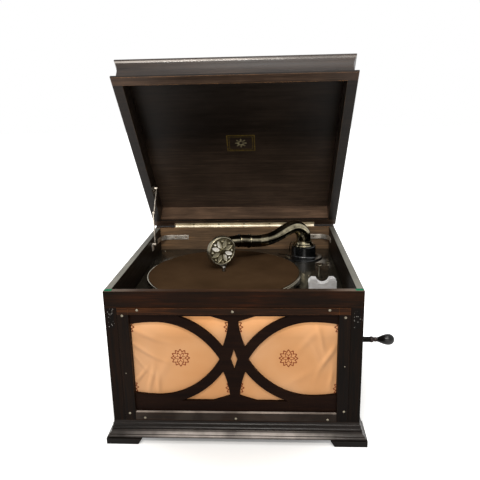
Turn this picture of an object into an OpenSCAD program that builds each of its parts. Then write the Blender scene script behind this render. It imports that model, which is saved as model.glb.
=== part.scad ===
// Tabletop gramophone: a wooden case with a hinged lid, a wound motor, a swan-neck
// tonearm with its soundbox, and a horn that ends behind a fretted front.
// Millimetres. X is to the right, Y to the back, Z up. The origin is on the table,
// under the centre of the case. The lid stands open.

/* [Case] */
// Width of the case over its side walls
case_w = 432; // [400:1:460]
// Depth of the case over its front and back
case_d = 448; // [440:1:470]
// Height of the case rim above the table
rim_z = 283; // [276:1:300]
// Thickness of the case walls
wall_t = 12; // [10:0.5:13]
// Thickness of the bottom board
bottom_t = 10; // [8:0.5:11]
// Height of the foot blocks
foot_h = 11; // [9:0.5:13]
// Height of the plinth with its feet
plinth_h = 40; // [38:0.5:43]
// Length of each foot block along a side
foot_len = 57; // [45:1:70]
// How far the feet stand out past the case
foot_out = 13; // [12:0.5:16]
// Thickness of the motor board
board_t = 12; // [10:0.5:13]
// Depth of the motor board below the rim
board_drop = 54; // [50:0.5:56]
// Width and height of the battens under the motor board
batten = 12; // [8:1:14]

/* [Grille] */
// Width of the opening in the front
grille_w = 389; // [380:1:392]
// Lower edge of the opening in the front
grille_z0 = 42; // [41:0.5:44]
// Upper edge of the opening in the front
grille_z1 = 253.5; // [250:0.5:255]
// Width of the side strips that hold the fret
strip_side = 19; // [17:0.5:21]
// Width of the top strip
strip_top = 12; // [10:0.5:14]
// Width of the bottom strip
strip_bottom = 15; // [12:0.5:17]
// Thickness of the strips
strip_t = 6; // [5:0.5:7]
// How far the strips stand out of the front
strip_proud = 1.2; // [0.5:0.1:2]
// Thickness of the fretted board
fret_t = 6; // [5:0.5:7]
// Distance between the tips of the two leaf openings
leaf_gap = 49; // [44:1:58]
// Distance from the middle to the straight outer edge of a leaf opening
leaf_out = 175; // [168:0.5:175]
// Width of an interlaced band
band_w = 17; // [14:0.5:19]

/* [Lid] */
// Height of the lid
lid_h = 52; // [49:0.5:58]
// How far the lid's edge stands out past the case at the sides
lid_over = 4.5; // [3:0.5:7]
// Thickness of the lid's rails
lid_wall = 19; // [17:0.5:20]
// Thickness of the lid's panel
lid_panel_t = 8; // [6:0.5:9]
// Angle at which the lid stands open
lid_open = 49.85; // [40:0.05:60]
// Length of the piano hinge
hinge_len = 337.5; // [300:2.5:360]
// Radius of the hinge knuckles
knuckle_r = 2.6; // [2.2:0.1:3]
// Radius of the hinge pin
hinge_pin_r = 1.2; // [1:0.1:1.4]

/* [Turntable] */
// Diameter of the turntable
table_dia = 305; // [295:1:308]
// Height of the turntable's felt above the motor board
table_rise = 24; // [21:0.5:26]
// Depth of the turntable's turned-down rim
table_skirt = 13; // [10:0.5:15]
// Thickness of the felt
felt_t = 2; // [1:0.25:3]
// Radius of the spindle
spindle_r = 3.6; // [3.2:0.1:4]
// Height of the spindle above the felt
spindle_up = 10; // [8:0.5:14]

/* [Tonearm] */
// Radius of the black base
arm_base_r = 27.5; // [26:0.5:30]
// Height of the black base
arm_base_h = 28.5; // [26:0.5:31]
// Radius of the base's flange
arm_flange_r = 42.4; // [38:0.5:44]
// Radius of the tube at the base
arm_root_r = 17; // [15:0.5:17]
// Radius of the tube at the soundbox end
arm_tip_r = 13; // [11:0.5:14]
// Wall of the tube
arm_wall = 1.2; // [0.8:0.1:2]
// Radius of the soundbox
box_r = 29.8; // [27:0.2:31]
// Depth of the soundbox
box_t = 15; // [13:0.5:16]
// Radius of the needle's shank
needle_r = 0.7; // [0.6:0.1:1]

/* [Motor] */
// Size of one gear tooth as pitch diameter over teeth
gear_module = 1; // [0.9:0.05:1.05]
// Thickness of the motor's plates
plate_t = 5; // [4:0.5:6]
// Radius of the spring barrel's drum
barrel_r = 44; // [38:1:45]
// Wall of the spring barrel
barrel_wall = 2; // [1.5:0.5:3]
// Radius of the barrel arbor
arbor_r = 5; // [4:0.5:6]
// Radius of the winding shaft
winder_r = 4; // [3:0.5:5]
// Height of the winding shaft above the table
winder_z = 165; // [163:0.5:167]
// Depth of the winding shaft from the middle of the case, to the back
winder_y = 20; // [16:1:24]
// Radius of the governor's shaft
governor_r = 1.6; // [1.2:0.1:2]

/* [Crank] */
// Distance from the winding shaft to the handle
crank_throw = 84; // [70:1:100]
// Radius of the crank's rod
crank_rod_r = 4.4; // [3.6:0.1:5]
// Length of the wooden knob
knob_len = 38; // [34:1:42]
// Largest radius of the wooden knob
knob_r = 13; // [10:0.5:14]

/* [Hidden] */

$fn = 64;
// Running clearance on a radius, and the gap between pieces that move past each other
run = 0.05;
gap = 0.3;
// Finishes, as the object shows them
wood = [0.20, 0.14, 0.11];
wood_dark = [0.13, 0.10, 0.08];
nickel = [0.72, 0.69, 0.62];
steel = [0.55, 0.55, 0.56];
iron = [0.16, 0.17, 0.18];
brass_c = [0.70, 0.56, 0.28];

half_w = case_w / 2;
half_d = case_d / 2;
inner_x = half_w - wall_t;
inner_y = half_d - wall_t;
board_z = rim_z - board_drop;
board_low = board_z - board_t;
table_z = board_z + table_rise;
table_x = -29.8;
table_y = -30.1;
table_r = table_dia / 2;

function unit(v) = v / norm(v);
// A point of the smooth curve through four points, after the second one
function through(p, t) = 0.5 * (2 * p[1] + (p[2] - p[0]) * t
    + (2 * p[0] - 5 * p[1] + 4 * p[2] - p[3]) * t * t
    + (3 * p[1] - p[0] - 3 * p[2] + p[3]) * t * t * t);
function near_end(pts, i) = pts[max(0, min(len(pts) - 1, i))];
function smooth(pts, steps) = concat(
    [for (i = [0:len(pts) - 2], k = [0:steps - 1])
        through([near_end(pts, i - 1), pts[i], pts[i + 1], near_end(pts, i + 2)], k / steps)],
    [pts[len(pts) - 1]]);
function place(p) = [p[0], p[1], p[2]];
function heading(line, i) = unit(place(near_end(line, i + 1)) - place(near_end(line, i - 1)));
// Sideways directions along a line, each turned as little as possible from the one before
function sides(line, first, i = 0) = i >= len(line) ? [] :
    let (t = heading(line, i), s = unit(first - (first * t) * t))
    concat([s], sides(line, s, i + 1));
function hoops(line, across, shrink, n) = [for (i = [0:len(line) - 1], k = [0:n - 1])
    let (t = heading(line, i), s = across[i], u = cross(t, s), a = 360 * k / n)
    place(line[i]) + (line[i][3] - shrink) * (cos(a) * s + sin(a) * u)];

// A pipe along a line of [x, y, z, radius], open at both ends
module pipe(line, first, wall, n) {
    across = sides(line, first);
    m = len(line);
    far = n * m;
    skin = concat(hoops(line, across, 0, n), hoops(line, across, wall, n));
    walls = [for (i = [0:m - 2], k = [0:n - 1]) let (a = i * n + k, b = i * n + (k + 1) % n)
        [a, a + n, b + n, b]];
    bores = [for (i = [0:m - 2], k = [0:n - 1]) let (a = far + i * n + k, b = far + i * n + (k + 1) % n)
        [a, b, b + n, a + n]];
    low = [for (k = [0:n - 1]) [k, (k + 1) % n, far + (k + 1) % n, far + k]];
    top = (m - 1) * n;
    high = [for (k = [0:n - 1]) [top + k, far + top + k, far + top + (k + 1) % n, top + (k + 1) % n]];
    polyhedron(skin, concat(walls, bores, low, high), convexity = 6);
}

// A closed profile of [outward, z] carried round a rectangle, mitred at its corners
module mitred_frame(hx, hy, profile) {
    n = len(profile);
    turns = [[1, 1], [-1, 1], [-1, -1], [1, -1]];
    pts = [for (c = turns, p = profile) [c[0] * (hx + p[0]), c[1] * (hy + p[0]), p[1]]];
    faces = [for (c = [0:3], i = [0:n - 1]) let (d = (c + 1) % 4, j = (i + 1) % n)
        [c * n + i, c * n + j, d * n + j, d * n + i]];
    polyhedron(pts, faces, convexity = 6);
}

// A gear's outline with straight-sided teeth
function gear_outline(teeth, size) = [for (i = [0:teeth - 1],
        e = [[-0.27, -1.1], [-0.11, 0.8], [0.11, 0.8], [0.27, -1.1]])
    let (a = 360 * (i + e[0]) / teeth, r = teeth * size / 2 + e[1] * size) [r * cos(a), r * sin(a)]];

module gear(teeth, size, height, bore) {
    linear_extrude(height) difference() {
        polygon(gear_outline(teeth, size));
        circle(bore);
    }
}

module box_between(low, high) {
    translate(low) cube(high - low);
}

module screw_head(r, h) {
    rotate_extrude() polygon([[0, 0], [r, 0], [r * 0.92, h * 0.5], [r * 0.6, h * 0.88], [0, h]]);
}

// CASE

stile_x = grille_w / 2;

module case_side(side) {
    color(wood) mirror([side < 0 ? 1 : 0, 0, 0]) difference() {
        box_between([inner_x, -half_d + wall_t, plinth_h], [half_w, half_d - wall_t, rim_z]);
        if (side > 0) {
            translate([inner_x - 1, winder_y, winder_z]) rotate([0, 90, 0]) cylinder(r = winder_r + 5, h = wall_t + 2);
        }
    }
}

module case_back() {
    color(wood) difference() {
        box_between([-half_w, inner_y, plinth_h], [half_w, half_d, rim_z]);
        box_between([-hinge_len / 2 - gap, half_d - leaf_w - gap, rim_z - leaf_t],
            [hinge_len / 2 + gap, half_d + 1, rim_z + 1]);
    }
}

module case_front_frame() {
    color(wood) difference() {
        box_between([-half_w, -half_d, plinth_h], [half_w, -inner_y, rim_z]);
        box_between([-stile_x, -half_d - 1, grille_z0], [stile_x, -inner_y + 1, grille_z1]);
    }
}

module case_bottom() {
    color(wood_dark) box_between([-inner_x, -inner_y, plinth_h], [inner_x, inner_y, plinth_h + bottom_t]);
}

// The plinth's section: a bead, a step, a hollow and a square foot moulding
bead_out = 4.2;
base_out = 11.3;
function bead() = [for (a = [90:-30:-30]) [bead_out * cos(a), plinth_h - 4 + 4 * sin(a)]];
function hollow() = [for (a = [0:15:90])
    [base_out - (base_out - bead_out - 0.8) * sin(a), foot_h + 7 + 13 * (1 - cos(a))]];

module plinth_moulding() {
    color(wood) mitred_frame(half_w, half_d, concat(
        [[-wall_t, foot_h], [base_out, foot_h]], hollow(),
        [[bead_out + 0.6, plinth_h - 8.5], [bead_out, plinth_h - 7]],
        [for (i = [0:3]) bead()[3 - i]], [[-wall_t, plinth_h]]));
}

module foot_profile() {
    reach = foot_out + wall_t;
    polygon([[0, 0], [foot_len, 0], [foot_len + 7, foot_h], [0, foot_h]]);
}

// Each foot is an L of two blocks that meet at the corner, with sloping inner ends
module one_foot() {
    reach = foot_out + wall_t;
    union() {
        translate([-foot_out, reach - foot_out, 0]) rotate([90, 0, 0]) linear_extrude(reach) foot_profile();
        translate([reach - foot_out, -foot_out, 0]) rotate([90, 0, -90]) mirror([1, 0, 0])
            linear_extrude(reach) foot_profile();
    }
}

module feet() {
    color(wood) for (sx = [0, 1], sy = [0, 1]) mirror([sx, 0, 0]) mirror([0, sy, 0])
        translate([-half_w, -half_d, 0]) one_foot();
}

// A flat board with holes for what passes through it
module motor_board() {
    color(iron) difference() {
        box_between([-inner_x + gap, -inner_y + gap, board_low], [inner_x - gap, inner_y - gap, board_z]);
        translate([table_x, table_y, board_low - 1]) cylinder(r = spindle_r + 5, h = board_t + 2);
        translate([arm_x, arm_y, board_low - 1]) cylinder(r = throat_r + 1.5, h = board_t + 2);
        translate([knob_x, knob_y, board_low - 1]) cylinder(r = regulator_r + run, h = board_t + 2);
    }
}

module board_battens() {
    color(wood_dark) {
        for (s = [-1, 1]) translate([s * (inner_x - batten / 2), 0, board_low - batten / 2])
            cube([batten, 2 * inner_y - 40, batten], center = true);
        translate([0, inner_y - batten / 2, board_low - batten / 2])
            cube([2 * inner_x - 40 - 2 * batten, batten, batten], center = true);
    }
}

// GRILLE

strip_y = -half_d - strip_proud;
fret_y = strip_y + strip_t;
fret_mid_z = (grille_z0 + strip_bottom + grille_z1 - strip_top) / 2 + 7.5;
fret_top = grille_z1 - strip_top - 5;
fret_low = grille_z0 + strip_bottom + 15;

module grille_strips() {
    color(wood) translate([0, strip_y, 0]) rotate([90, 0, 0]) mirror([0, 0, 1]) {
        for (s = [-1, 1]) linear_extrude(strip_t)
            polygon([[s * stile_x, grille_z0], [s * (stile_x - strip_side), grille_z0],
                [s * (stile_x - strip_side), grille_z1], [s * stile_x, grille_z1]]);
        x = stile_x - strip_side - 0.05;
        linear_extrude(strip_t) polygon([[-x, grille_z1 - strip_top], [x, grille_z1 - strip_top],
            [x, grille_z1], [-x, grille_z1]]);
        linear_extrude(strip_t) polygon([[-x, grille_z0], [x, grille_z0],
            [x, grille_z0 + strip_bottom], [-x, grille_z0 + strip_bottom]]);
    }
}

// The bands follow quarter ovals. Each oval's middle lies under or over a leaf's crown.
oval_x = 133;
oval_drop = 86;
oval_b = 155;
leaf_half = oval_b - oval_drop;
oval_a = (oval_x - leaf_gap / 2) / sqrt(1 - pow(oval_drop / oval_b, 2));
// Past its crown each oval runs out flatter
oval_out = 190;
function oval(a, grow) = [-oval_x + ((cos(a) > 0 ? oval_a : oval_out) + grow) * cos(a),
    -oval_drop + (oval_b + grow) * sin(a)];

module leaf_opening() {
    intersection() {
        polygon([for (a = [-20:4:200]) oval(a, 0)]);
        mirror([0, 1]) polygon([for (a = [-20:4:200]) oval(a, 0)]);
        translate([-leaf_out, -leaf_half - 1]) square([leaf_out, 2 * leaf_half + 2]);
    }
}

// The field between the straight frame edges, drawn in to a point at top and bottom middle
module fret_field() {
    top = fret_top - fret_mid_z;
    low = fret_low - fret_mid_z;
    polygon([[-leaf_out, top], [-38, top], [-7.5, top - 10], [7.5, top - 10], [38, top], [leaf_out, top],
        [leaf_out, low], [36, low], [9, low + 11], [-9, low + 11], [-36, low], [-leaf_out, low]]);
}

// The opening over the crossing: inside one band's curve, outside the other band
module small_opening() {
    difference() {
        intersection() {
            fret_field();
            mirror([0, 1]) polygon([for (a = [-34:4:214]) oval(a, -5)]);
            translate([-101, 0]) square([101, 100]);
        }
        polygon([for (a = [-34:4:214]) oval(a, band_w)]);
    }
}

module fret_openings() {
    for (s = [0, 1]) mirror([s, 0]) {
        leaf_opening();
        small_opening();
        mirror([0, 1]) small_opening();
    }
    diamond();
}

// The small lozenge cut through the middle of the crossing
module diamond() {
    polygon([[-5.9, 0], [-2.7, 9.5], [0, 19], [2.7, 9.5], [5.9, 0], [2.7, -9.5], [0, -19], [-2.7, -9.5]]);
}

module grille_fret() {
    color(wood_dark) difference() {
        box_between([-stile_x + gap, fret_y, grille_z0 + gap], [stile_x - gap, fret_y + fret_t, grille_z1 - gap]);
        translate([0, fret_y - 1, fret_mid_z]) rotate([90, 0, 0]) mirror([0, 0, 1])
            linear_extrude(fret_t + 2) fret_openings();
    }
}

module grille_cloth() {
    color([0.82, 0.62, 0.42]) box_between([-stile_x + 2, fret_y + fret_t, grille_z0 + 2],
        [stile_x - 2, fret_y + fret_t + 0.6, grille_z1 - 2]);
}

screw_r = 2.3;
screw_h = 1.3;
strip_screws = [[-160, 250], [0, 247], [160, 250], [-159.5, 46], [1, 46], [160.5, 46],
    [-186, 240], [-186, 55], [186, 237], [188, 62]];

module grille_screws() {
    color(nickel) for (p = strip_screws) translate([p[0], strip_y, p[1]]) rotate([90, 0, 0])
        screw_head(screw_r, screw_h);
}

// FITTINGS ON THE CASE

clip_low = 254;
clip_h = 11;
clip_t = 1.2;
clip_bend = 26;

// A strip of nickelled spring brass across a rear corner, which holds a needle tin behind it
module tin_clip() {
    x0 = 135;
    bend_x = inner_x - clip_bend;
    difference() {
        translate([0, 0, clip_low]) linear_extrude(clip_h) {
            translate([x0, inner_y - clip_t]) square([bend_x - x0, clip_t]);
            translate([bend_x, inner_y - clip_bend]) intersection() {
                difference() {
                    circle(clip_bend);
                    circle(clip_bend - clip_t);
                }
                square(clip_bend);
            }
            translate([inner_x - clip_t, inner_y - clip_bend - 14]) square([clip_t, 14]);
        }
        for (x = [x0 + 6, x0 + 32]) translate([x, inner_y + 1, clip_low + clip_h / 2]) rotate([90, 0, 0])
            cylinder(r = 1.6, h = 4);
    }
}

module tin_clips() {
    color(nickel) for (s = [0, 1]) mirror([s, 0, 0]) tin_clip();
}

pocket_x = inner_x - 43;
pocket_y = -91;
pocket_w = 52;
pocket_h = 28.6;

// A folded pocket for a flat needle tin, its face cut away in the middle for a thumb
module pocket_face() {
    difference() {
        translate([-pocket_w / 2, 0]) square([pocket_w, pocket_h]);
        translate([0, pocket_h + 2.7]) circle(12.5);
        for (s = [-1, 1]) translate([s * (pocket_w / 2), pocket_h]) rotate(45) square(7, center = true);
    }
}

module needle_pocket() {
    plate = 1.2;
    deep = 13;
    color(nickel) translate([pocket_x, pocket_y, board_z]) {
        rotate([90, 0, 0]) mirror([0, 0, 1]) linear_extrude(plate) pocket_face();
        translate([0, deep, 0]) rotate([90, 0, 0]) mirror([0, 0, 1]) linear_extrude(plate) pocket_face();
        translate([-pocket_w / 2, 0, 0]) cube([pocket_w, deep + plate, plate]);
        for (s = [-1, 1]) translate([s * (pocket_w - plate) / 2, (deep + plate) / 2, pocket_h / 3])
            cube([plate, deep + plate, pocket_h * 2 / 3], center = true);
    }
}

// HINGE

leaf_w = 10;
leaf_t = 1.2;
knuckles = 15;
hinge_y = half_d + knuckle_r - 0.1;
hinge_z = rim_z + gap / 2;
knuckle_len = hinge_len / knuckles;

module hinge_knuckles(first) {
    for (i = [first:2:knuckles - 1]) translate([-hinge_len / 2 + i * knuckle_len + run, hinge_y, hinge_z])
        rotate([0, 90, 0]) cylinder(r = knuckle_r, h = knuckle_len - 2 * run, $fn = 32);
}

module hinge_bore() {
    translate([-hinge_len / 2 - 1, hinge_y, hinge_z]) rotate([0, 90, 0])
        cylinder(r = hinge_pin_r + run, h = hinge_len + 2, $fn = 32);
}

module leaf_holes(z) {
    for (x = [-2:2]) translate([x * 61.5, half_d - leaf_w / 2, z - 1]) cylinder(r = 1.5, h = leaf_t + 2, $fn = 24);
}

// Half of the piano hinge: a leaf let into the wood and every other knuckle
module hinge_half(low, first) {
    difference() {
        union() {
            box_between([-hinge_len / 2, half_d - leaf_w, low], [hinge_len / 2, half_d - 0.2, low + leaf_t]);
            hinge_knuckles(first);
            for (i = [first:2:knuckles - 1]) translate([-hinge_len / 2 + i * knuckle_len + run, half_d - 0.4, low])
                cube([knuckle_len - 2 * run, 1.8, leaf_t]);
        }
        hinge_bore();
        leaf_holes(low);
    }
}

module hinge_leaf_case() {
    color(nickel) hinge_half(rim_z - leaf_t, 0);
}

module hinge_pin() {
    color(nickel) translate([-hinge_len / 2, hinge_y, hinge_z]) rotate([0, 90, 0])
        cylinder(r = hinge_pin_r, h = hinge_len, $fn = 32);
}

// LID, drawn closed and then turned about the hinge pin

lid_z = rim_z + gap;

module lid_pose() {
    translate([0, hinge_y, hinge_z]) rotate([-lid_open, 0, 0]) translate([0, -hinge_y, -hinge_z]) children();
}

band_h = 6;
lip_in = 7.2;
lid_hx = half_w + lid_over;
lid_top_z = lid_z + lid_h;
lid_recess_z = lid_top_z - lid_panel_t - 2;

// The rails stand inside the band and flare out to the lip
function cove() = [for (i = [0:8]) let (t = i / 8)
    [-lip_in * (1 - t * t * t * t), lid_z + band_h + 0.6 + (lid_h - band_h - 5) * t]];

module lid_frame() {
    color(wood) lid_pose() difference() {
        mitred_frame(lid_hx, half_d, concat([[-lid_wall, lid_z + band_h], [-lip_in, lid_z + band_h]], cove(),
            [[0, lid_top_z - 1.5], [-1.5, lid_top_z], [-lid_wall, lid_top_z]]));
        translate([-lid_hx - 10, half_d, lid_z]) cube([2 * lid_hx + 20, 30, lid_h + 5]);
    }
}

module lid_panel() {
    x = lid_hx - lid_wall;
    color(wood) lid_pose() box_between([-x, -half_d + lid_wall, lid_recess_z],
        [x, half_d - lid_wall, lid_recess_z + lid_panel_t]);
}

module lid_band() {
    color(wood) lid_pose() difference() {
        mitred_frame(lid_hx, half_d, [[-lid_wall, lid_z], [-1, lid_z], [0, lid_z + 1], [0, lid_z + band_h - 1.5],
            [-1.5, lid_z + band_h], [-lid_wall, lid_z + band_h]]);
        box_between([-hinge_len / 2 - gap, half_d - leaf_w - gap, lid_z - 1],
            [hinge_len / 2 + gap, half_d + 1, lid_z + leaf_t]);
    }
}

module hinge_leaf_lid() {
    color(nickel) lid_pose() hinge_half(lid_z, 1);
}

// LID STAY: two flat arms that fold forward as the lid comes down

stay_x = -inner_x + 5;
stay_t = 1.8;
stay_up = 124;
stay_in = 18;
stay_y = hinge_y - 108.5;
stay_z = rim_z - 15;
arm_1 = 63.73;
arm_2 = 73.01;
stay_low = [stay_y, stay_z];
function lid_turned(p) = [hinge_y + p[0] * cos(lid_open) + p[1] * sin(lid_open),
    hinge_z - p[0] * sin(lid_open) + p[1] * cos(lid_open)];
stay_high = lid_turned([-stay_up, stay_in]);
stay_span = norm(stay_high - stay_low);
stay_along = (stay_span * stay_span + arm_2 * arm_2 - arm_1 * arm_1) / (2 * stay_span);
stay_off = sqrt(arm_2 * arm_2 - stay_along * stay_along);
stay_dir = (stay_high - stay_low) / stay_span;
stay_knee = stay_low + stay_along * stay_dir + stay_off * [-stay_dir[1], stay_dir[0]];

// A flat arm between two points of the side view, with an eye at each end
module stay_bar(p, q, x) {
    long = norm(q - p);
    translate([x, p[0], p[1]]) rotate([90, 0, 90]) rotate(atan2(q[1] - p[1], q[0] - p[0])) linear_extrude(stay_t)
        difference() {
            union() {
                translate([0, -2.6]) square([long, 5.2]);
                circle(4);
                translate([long, 0]) circle(4);
            }
            circle(1.6 + run);
            translate([long, 0]) circle(1.6 + run);
        }
}

module stay_lower_arm() {
    color(nickel) {
        stay_bar(stay_low, stay_knee, stay_x);
        translate([stay_x + 0.2, stay_knee[0], stay_knee[1]]) rotate([0, 90, 0])
            cylinder(r = 1.95, h = stay_t - 0.2);
    }
}

module stay_upper_arm() {
    color(nickel) stay_bar(stay_high, stay_knee, stay_x + stay_t + gap);
}

// A small plate on the wall with a pin that the arm turns on
module stay_bracket(p, x_wall, x_pin, tall) {
    translate([x_wall, p[0], p[1]]) rotate([90, 0, 90]) {
        translate([0, -4, 0]) linear_extrude(1.5) polygon([[-6, -tall], [6, -tall], [6, 0], [3.5, 8], [-3.5, 8], [-6, 0]]);
        cylinder(r = 1.6, h = x_pin - x_wall + stay_t + 0.2);
        cylinder(r = 3, h = x_pin - x_wall - gap);
        translate([0, 0, x_pin - x_wall + stay_t + 0.2]) cylinder(r = 3, h = 0.8);
    }
}

module stay_bracket_case() {
    color(nickel) stay_bracket(stay_low, -inner_x, stay_x, 10);
}

module stay_bracket_lid() {
    color(nickel) lid_pose() stay_bracket([hinge_y - stay_up, hinge_z + stay_in], -lid_hx + lid_wall,
        stay_x + stay_t + gap, 8);
}

// TURNTABLE

module turntable_platter() {
    color(nickel) translate([table_x, table_y, 0]) difference() {
        rotate_extrude($fn = 128) polygon([[spindle_r, table_z - felt_t - 2.4], [table_r - 3, table_z - felt_t - 2.4],
            [table_r - 3, table_z - table_skirt], [table_r - 0.6, table_z - table_skirt],
            [table_r, table_z - table_skirt + 0.6], [table_r, table_z - 5.4], [table_r - 0.8, table_z - 4.8],
            [table_r - 0.8, table_z - 3.6], [table_r - 0.2, table_z - 3], [table_r - 0.2, table_z - 2],
            [table_r - 0.9, table_z - 1.3], [table_r - 2.6, table_z - 1.3], [table_r - 3, table_z - felt_t],
            [spindle_r, table_z - felt_t]]);
        translate([0, 0, table_z - 20]) cylinder(r = spindle_r + 0.02, h = 30);
    }
}

module turntable_felt() {
    color([0.25, 0.18, 0.13]) translate([table_x, table_y, table_z - felt_t]) difference() {
        cylinder(r = table_r - 3.2, h = felt_t, $fn = 128);
        translate([0, 0, -1]) cylinder(r = spindle_r + 0.3, h = felt_t + 2);
    }
}

// Levels in the motor, below the motor board
plate_low = board_low - plate_t;
level_a = plate_low - 8;
level_b = level_a - 8;
drum_low = level_b - 20;
drive_z = level_b - 16;
bottom_plate_z = plate_low - 72;

module turntable_spindle() {
    hub = table_z - felt_t - 2.4;
    color(steel) translate([table_x, table_y, 0]) {
        difference() {
            union() {
                translate([0, 0, bottom_plate_z + gap])
                    cylinder(r = spindle_r, h = table_z + spindle_up - 1.5 - bottom_plate_z - gap);
                translate([0, 0, table_z + spindle_up - 1.5]) cylinder(r1 = spindle_r, r2 = spindle_r - 1.2, h = 1.5);
                translate([0, 0, hub - 5]) cylinder(r = 9, h = 5);
            }
        }
        translate([0, 0, level_a - 1]) rotate(spindle_phase) gear(12, gear_module, 6, spindle_r);
    }
}

worm_starts = 4;
drive_teeth = 48;
drive_r = drive_teeth * gear_module / 2;

module governor_drive_wheel() {
    color(brass_c) translate([table_x, table_y, drive_z - 3]) {
        rotate(180 + 180 / drive_teeth) gear(drive_teeth, gear_module, 6, spindle_r + 0.02);
    }
}

// MOTOR

barrel_teeth = 100;
middle_pinion = 20;
middle_wheel = 60;
spindle_pinion = 12;
mesh = 0.25;
barrel_x = 45;
barrel_y = winder_y;
far_mesh = (barrel_teeth + middle_pinion) * gear_module / 2 + mesh;
near_mesh = (middle_wheel + spindle_pinion) * gear_module / 2 + mesh;
spindle_at = [table_x, table_y];
barrel_at = [barrel_x, barrel_y];
motor_span = norm(barrel_at - spindle_at);
motor_dir = (barrel_at - spindle_at) / motor_span;
middle_along = (near_mesh * near_mesh - far_mesh * far_mesh + motor_span * motor_span) / (2 * motor_span);
middle_off = sqrt(near_mesh * near_mesh - middle_along * middle_along);
middle_at = spindle_at + middle_along * motor_dir + middle_off * [motor_dir[1], -motor_dir[0]];
// Turning each gear so that a tooth of one stands in a gap of the other
to_middle = atan2(middle_at[1] - table_y, middle_at[0] - table_x);
from_barrel = atan2(middle_at[1] - barrel_y, middle_at[0] - barrel_x);
spindle_phase = to_middle;
wheel_phase = to_middle + 180 + 180 / middle_wheel;
pinion_phase = from_barrel + 180 + 180 / middle_pinion;

module motor_top_plate() {
    color(iron) difference() {
        translate([0, 0, plate_low]) linear_extrude(plate_t) difference() {
            translate([-92, -84]) square([196, 162]);
            translate(middle_at) circle(2.5 + run);
            translate([table_x, table_y]) circle(spindle_r + run);
            translate([barrel_x, barrel_y]) circle(arbor_r + run);
            translate([-75, -45]) square([30, 60]);
        }
    }
}

pillar_at = [[-84, -76], [96, -76], [-84, 70], [96, 70]];

module motor_bottom_plate() {
    color(iron) {
        translate([0, 0, bottom_plate_z - plate_t]) linear_extrude(plate_t) difference() {
            union() {
                for (k = [0:1]) polygon([pillar_at[k] + [-8, -8], pillar_at[k] + [8, -8], pillar_at[3 - k] + [8, 8],
                    pillar_at[3 - k] + [-8, 8]]);
                translate([barrel_x, barrel_y]) circle(16);
                translate(middle_at) circle(14);
                translate([table_x, table_y]) circle(16);
            }
            translate([barrel_x, barrel_y]) circle(arbor_r + run);
        }
        for (p = pillar_at) translate([p[0], p[1], bottom_plate_z]) cylinder(r = 5, h = plate_low - bottom_plate_z);
    }
}

module spring_barrel() {
    color(brass_c) translate([barrel_x, barrel_y, 0]) {
        difference() {
            union() {
                translate([0, 0, drum_low]) cylinder(r = barrel_r, h = level_b - drum_low, $fn = 96);
                translate([0, 0, level_b]) rotate(from_barrel) gear(barrel_teeth, gear_module, 5, arbor_r);
            }
            translate([0, 0, drum_low - 1]) cylinder(r = arbor_r + run, h = 40);
            translate([0, 0, drum_low + barrel_wall]) cylinder(r = barrel_r - barrel_wall,
                h = level_b - drum_low - barrel_wall, $fn = 96);
        }
    }
}

// The wound spring: a long strip coiled from the arbor out to the wall of the drum
spring_turns = 7;
spring_t = 1.2;
spring_in = arbor_r + gap;
spring_out = barrel_r - barrel_wall - gap;
function spring_at(a, off) = let (r = spring_in + (spring_out - spring_in - spring_t) * a / (360 * spring_turns) + off)
    [r * cos(a), r * sin(a)];

module mainspring() {
    turn = 360 * spring_turns;
    color(steel) translate([barrel_x, barrel_y, drum_low + barrel_wall + 1]) linear_extrude(level_b - drum_low - barrel_wall - 2)
        polygon(concat([for (a = [0:15:turn]) spring_at(a, 0)], [for (a = [turn:-15:0]) spring_at(a, spring_t)]));
}

crown_teeth = 40;
winder_teeth = 16;
crown_r = 22;
winder_pitch_r = crown_r * winder_teeth / crown_teeth;
crown_z = winder_z - winder_pitch_r;

module winding_arbor() {
    color(steel) translate([barrel_x, barrel_y, bottom_plate_z - plate_t - 1])
        cylinder(r = arbor_r, h = plate_low + plate_t - bottom_plate_z + plate_t - 1);
}

// A crown wheel whose teeth stand up round its top face
module winding_wheel() {
    tooth_step = 360 / crown_teeth;
    color(brass_c) translate([barrel_x, barrel_y, 0]) difference() {
        union() {
            translate([0, 0, crown_z - 7]) cylinder(r = crown_r + 3, h = 5.6);
            translate([0, 0, crown_z - 10]) cylinder(r = 11, h = 4);
            for (i = [0:crown_teeth - 1]) rotate(tooth_step * (i + 0.5)) translate([crown_r - 2.6, -0.6, crown_z - 1.6])
                cube([5.4, 1.2, 2.4]);
        }
        translate([0, 0, crown_z - 12]) cylinder(r = arbor_r + 0.02, h = 20);
    }
}

module winding_shaft() {
    color(steel) translate([0, winder_y, winder_z]) rotate([0, 90, 0]) {
        translate([0, 0, barrel_x + 17]) cylinder(r = winder_r, h = half_w + 6 - barrel_x - 17);
        translate([0, 0, barrel_x + crown_r - 2.2]) linear_extrude(4.6) difference() {
            polygon([for (i = [0:winder_teeth - 1], e = [[-0.17, -1.2], [-0.1, 0.9], [0.1, 0.9], [0.17, -1.2]])
                let (a = 360 * (i + e[0]) / winder_teeth, r = winder_pitch_r + e[1]) [r * cos(a), r * sin(a)]]);
            circle(winder_r);
        }
    }
}

module crank_escutcheon() {
    color(nickel) translate([half_w, winder_y, winder_z]) rotate([0, 90, 0]) difference() {
        union() {
            rotate_extrude() polygon([[winder_r, -wall_t], [winder_r + 4.9, -wall_t], [winder_r + 4.9, 0], [17, 0],
                [17, 1], [15.5, 2], [winder_r + 5, 2.6], [winder_r + 4, 5], [winder_r, 5]]);
        }
        translate([0, 0, -wall_t - 1]) cylinder(r = winder_r + run, h = wall_t + 8);
    }
}

// CRANK: a bent rod on the winding shaft that hangs down, with a knob that turns on its end

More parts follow.
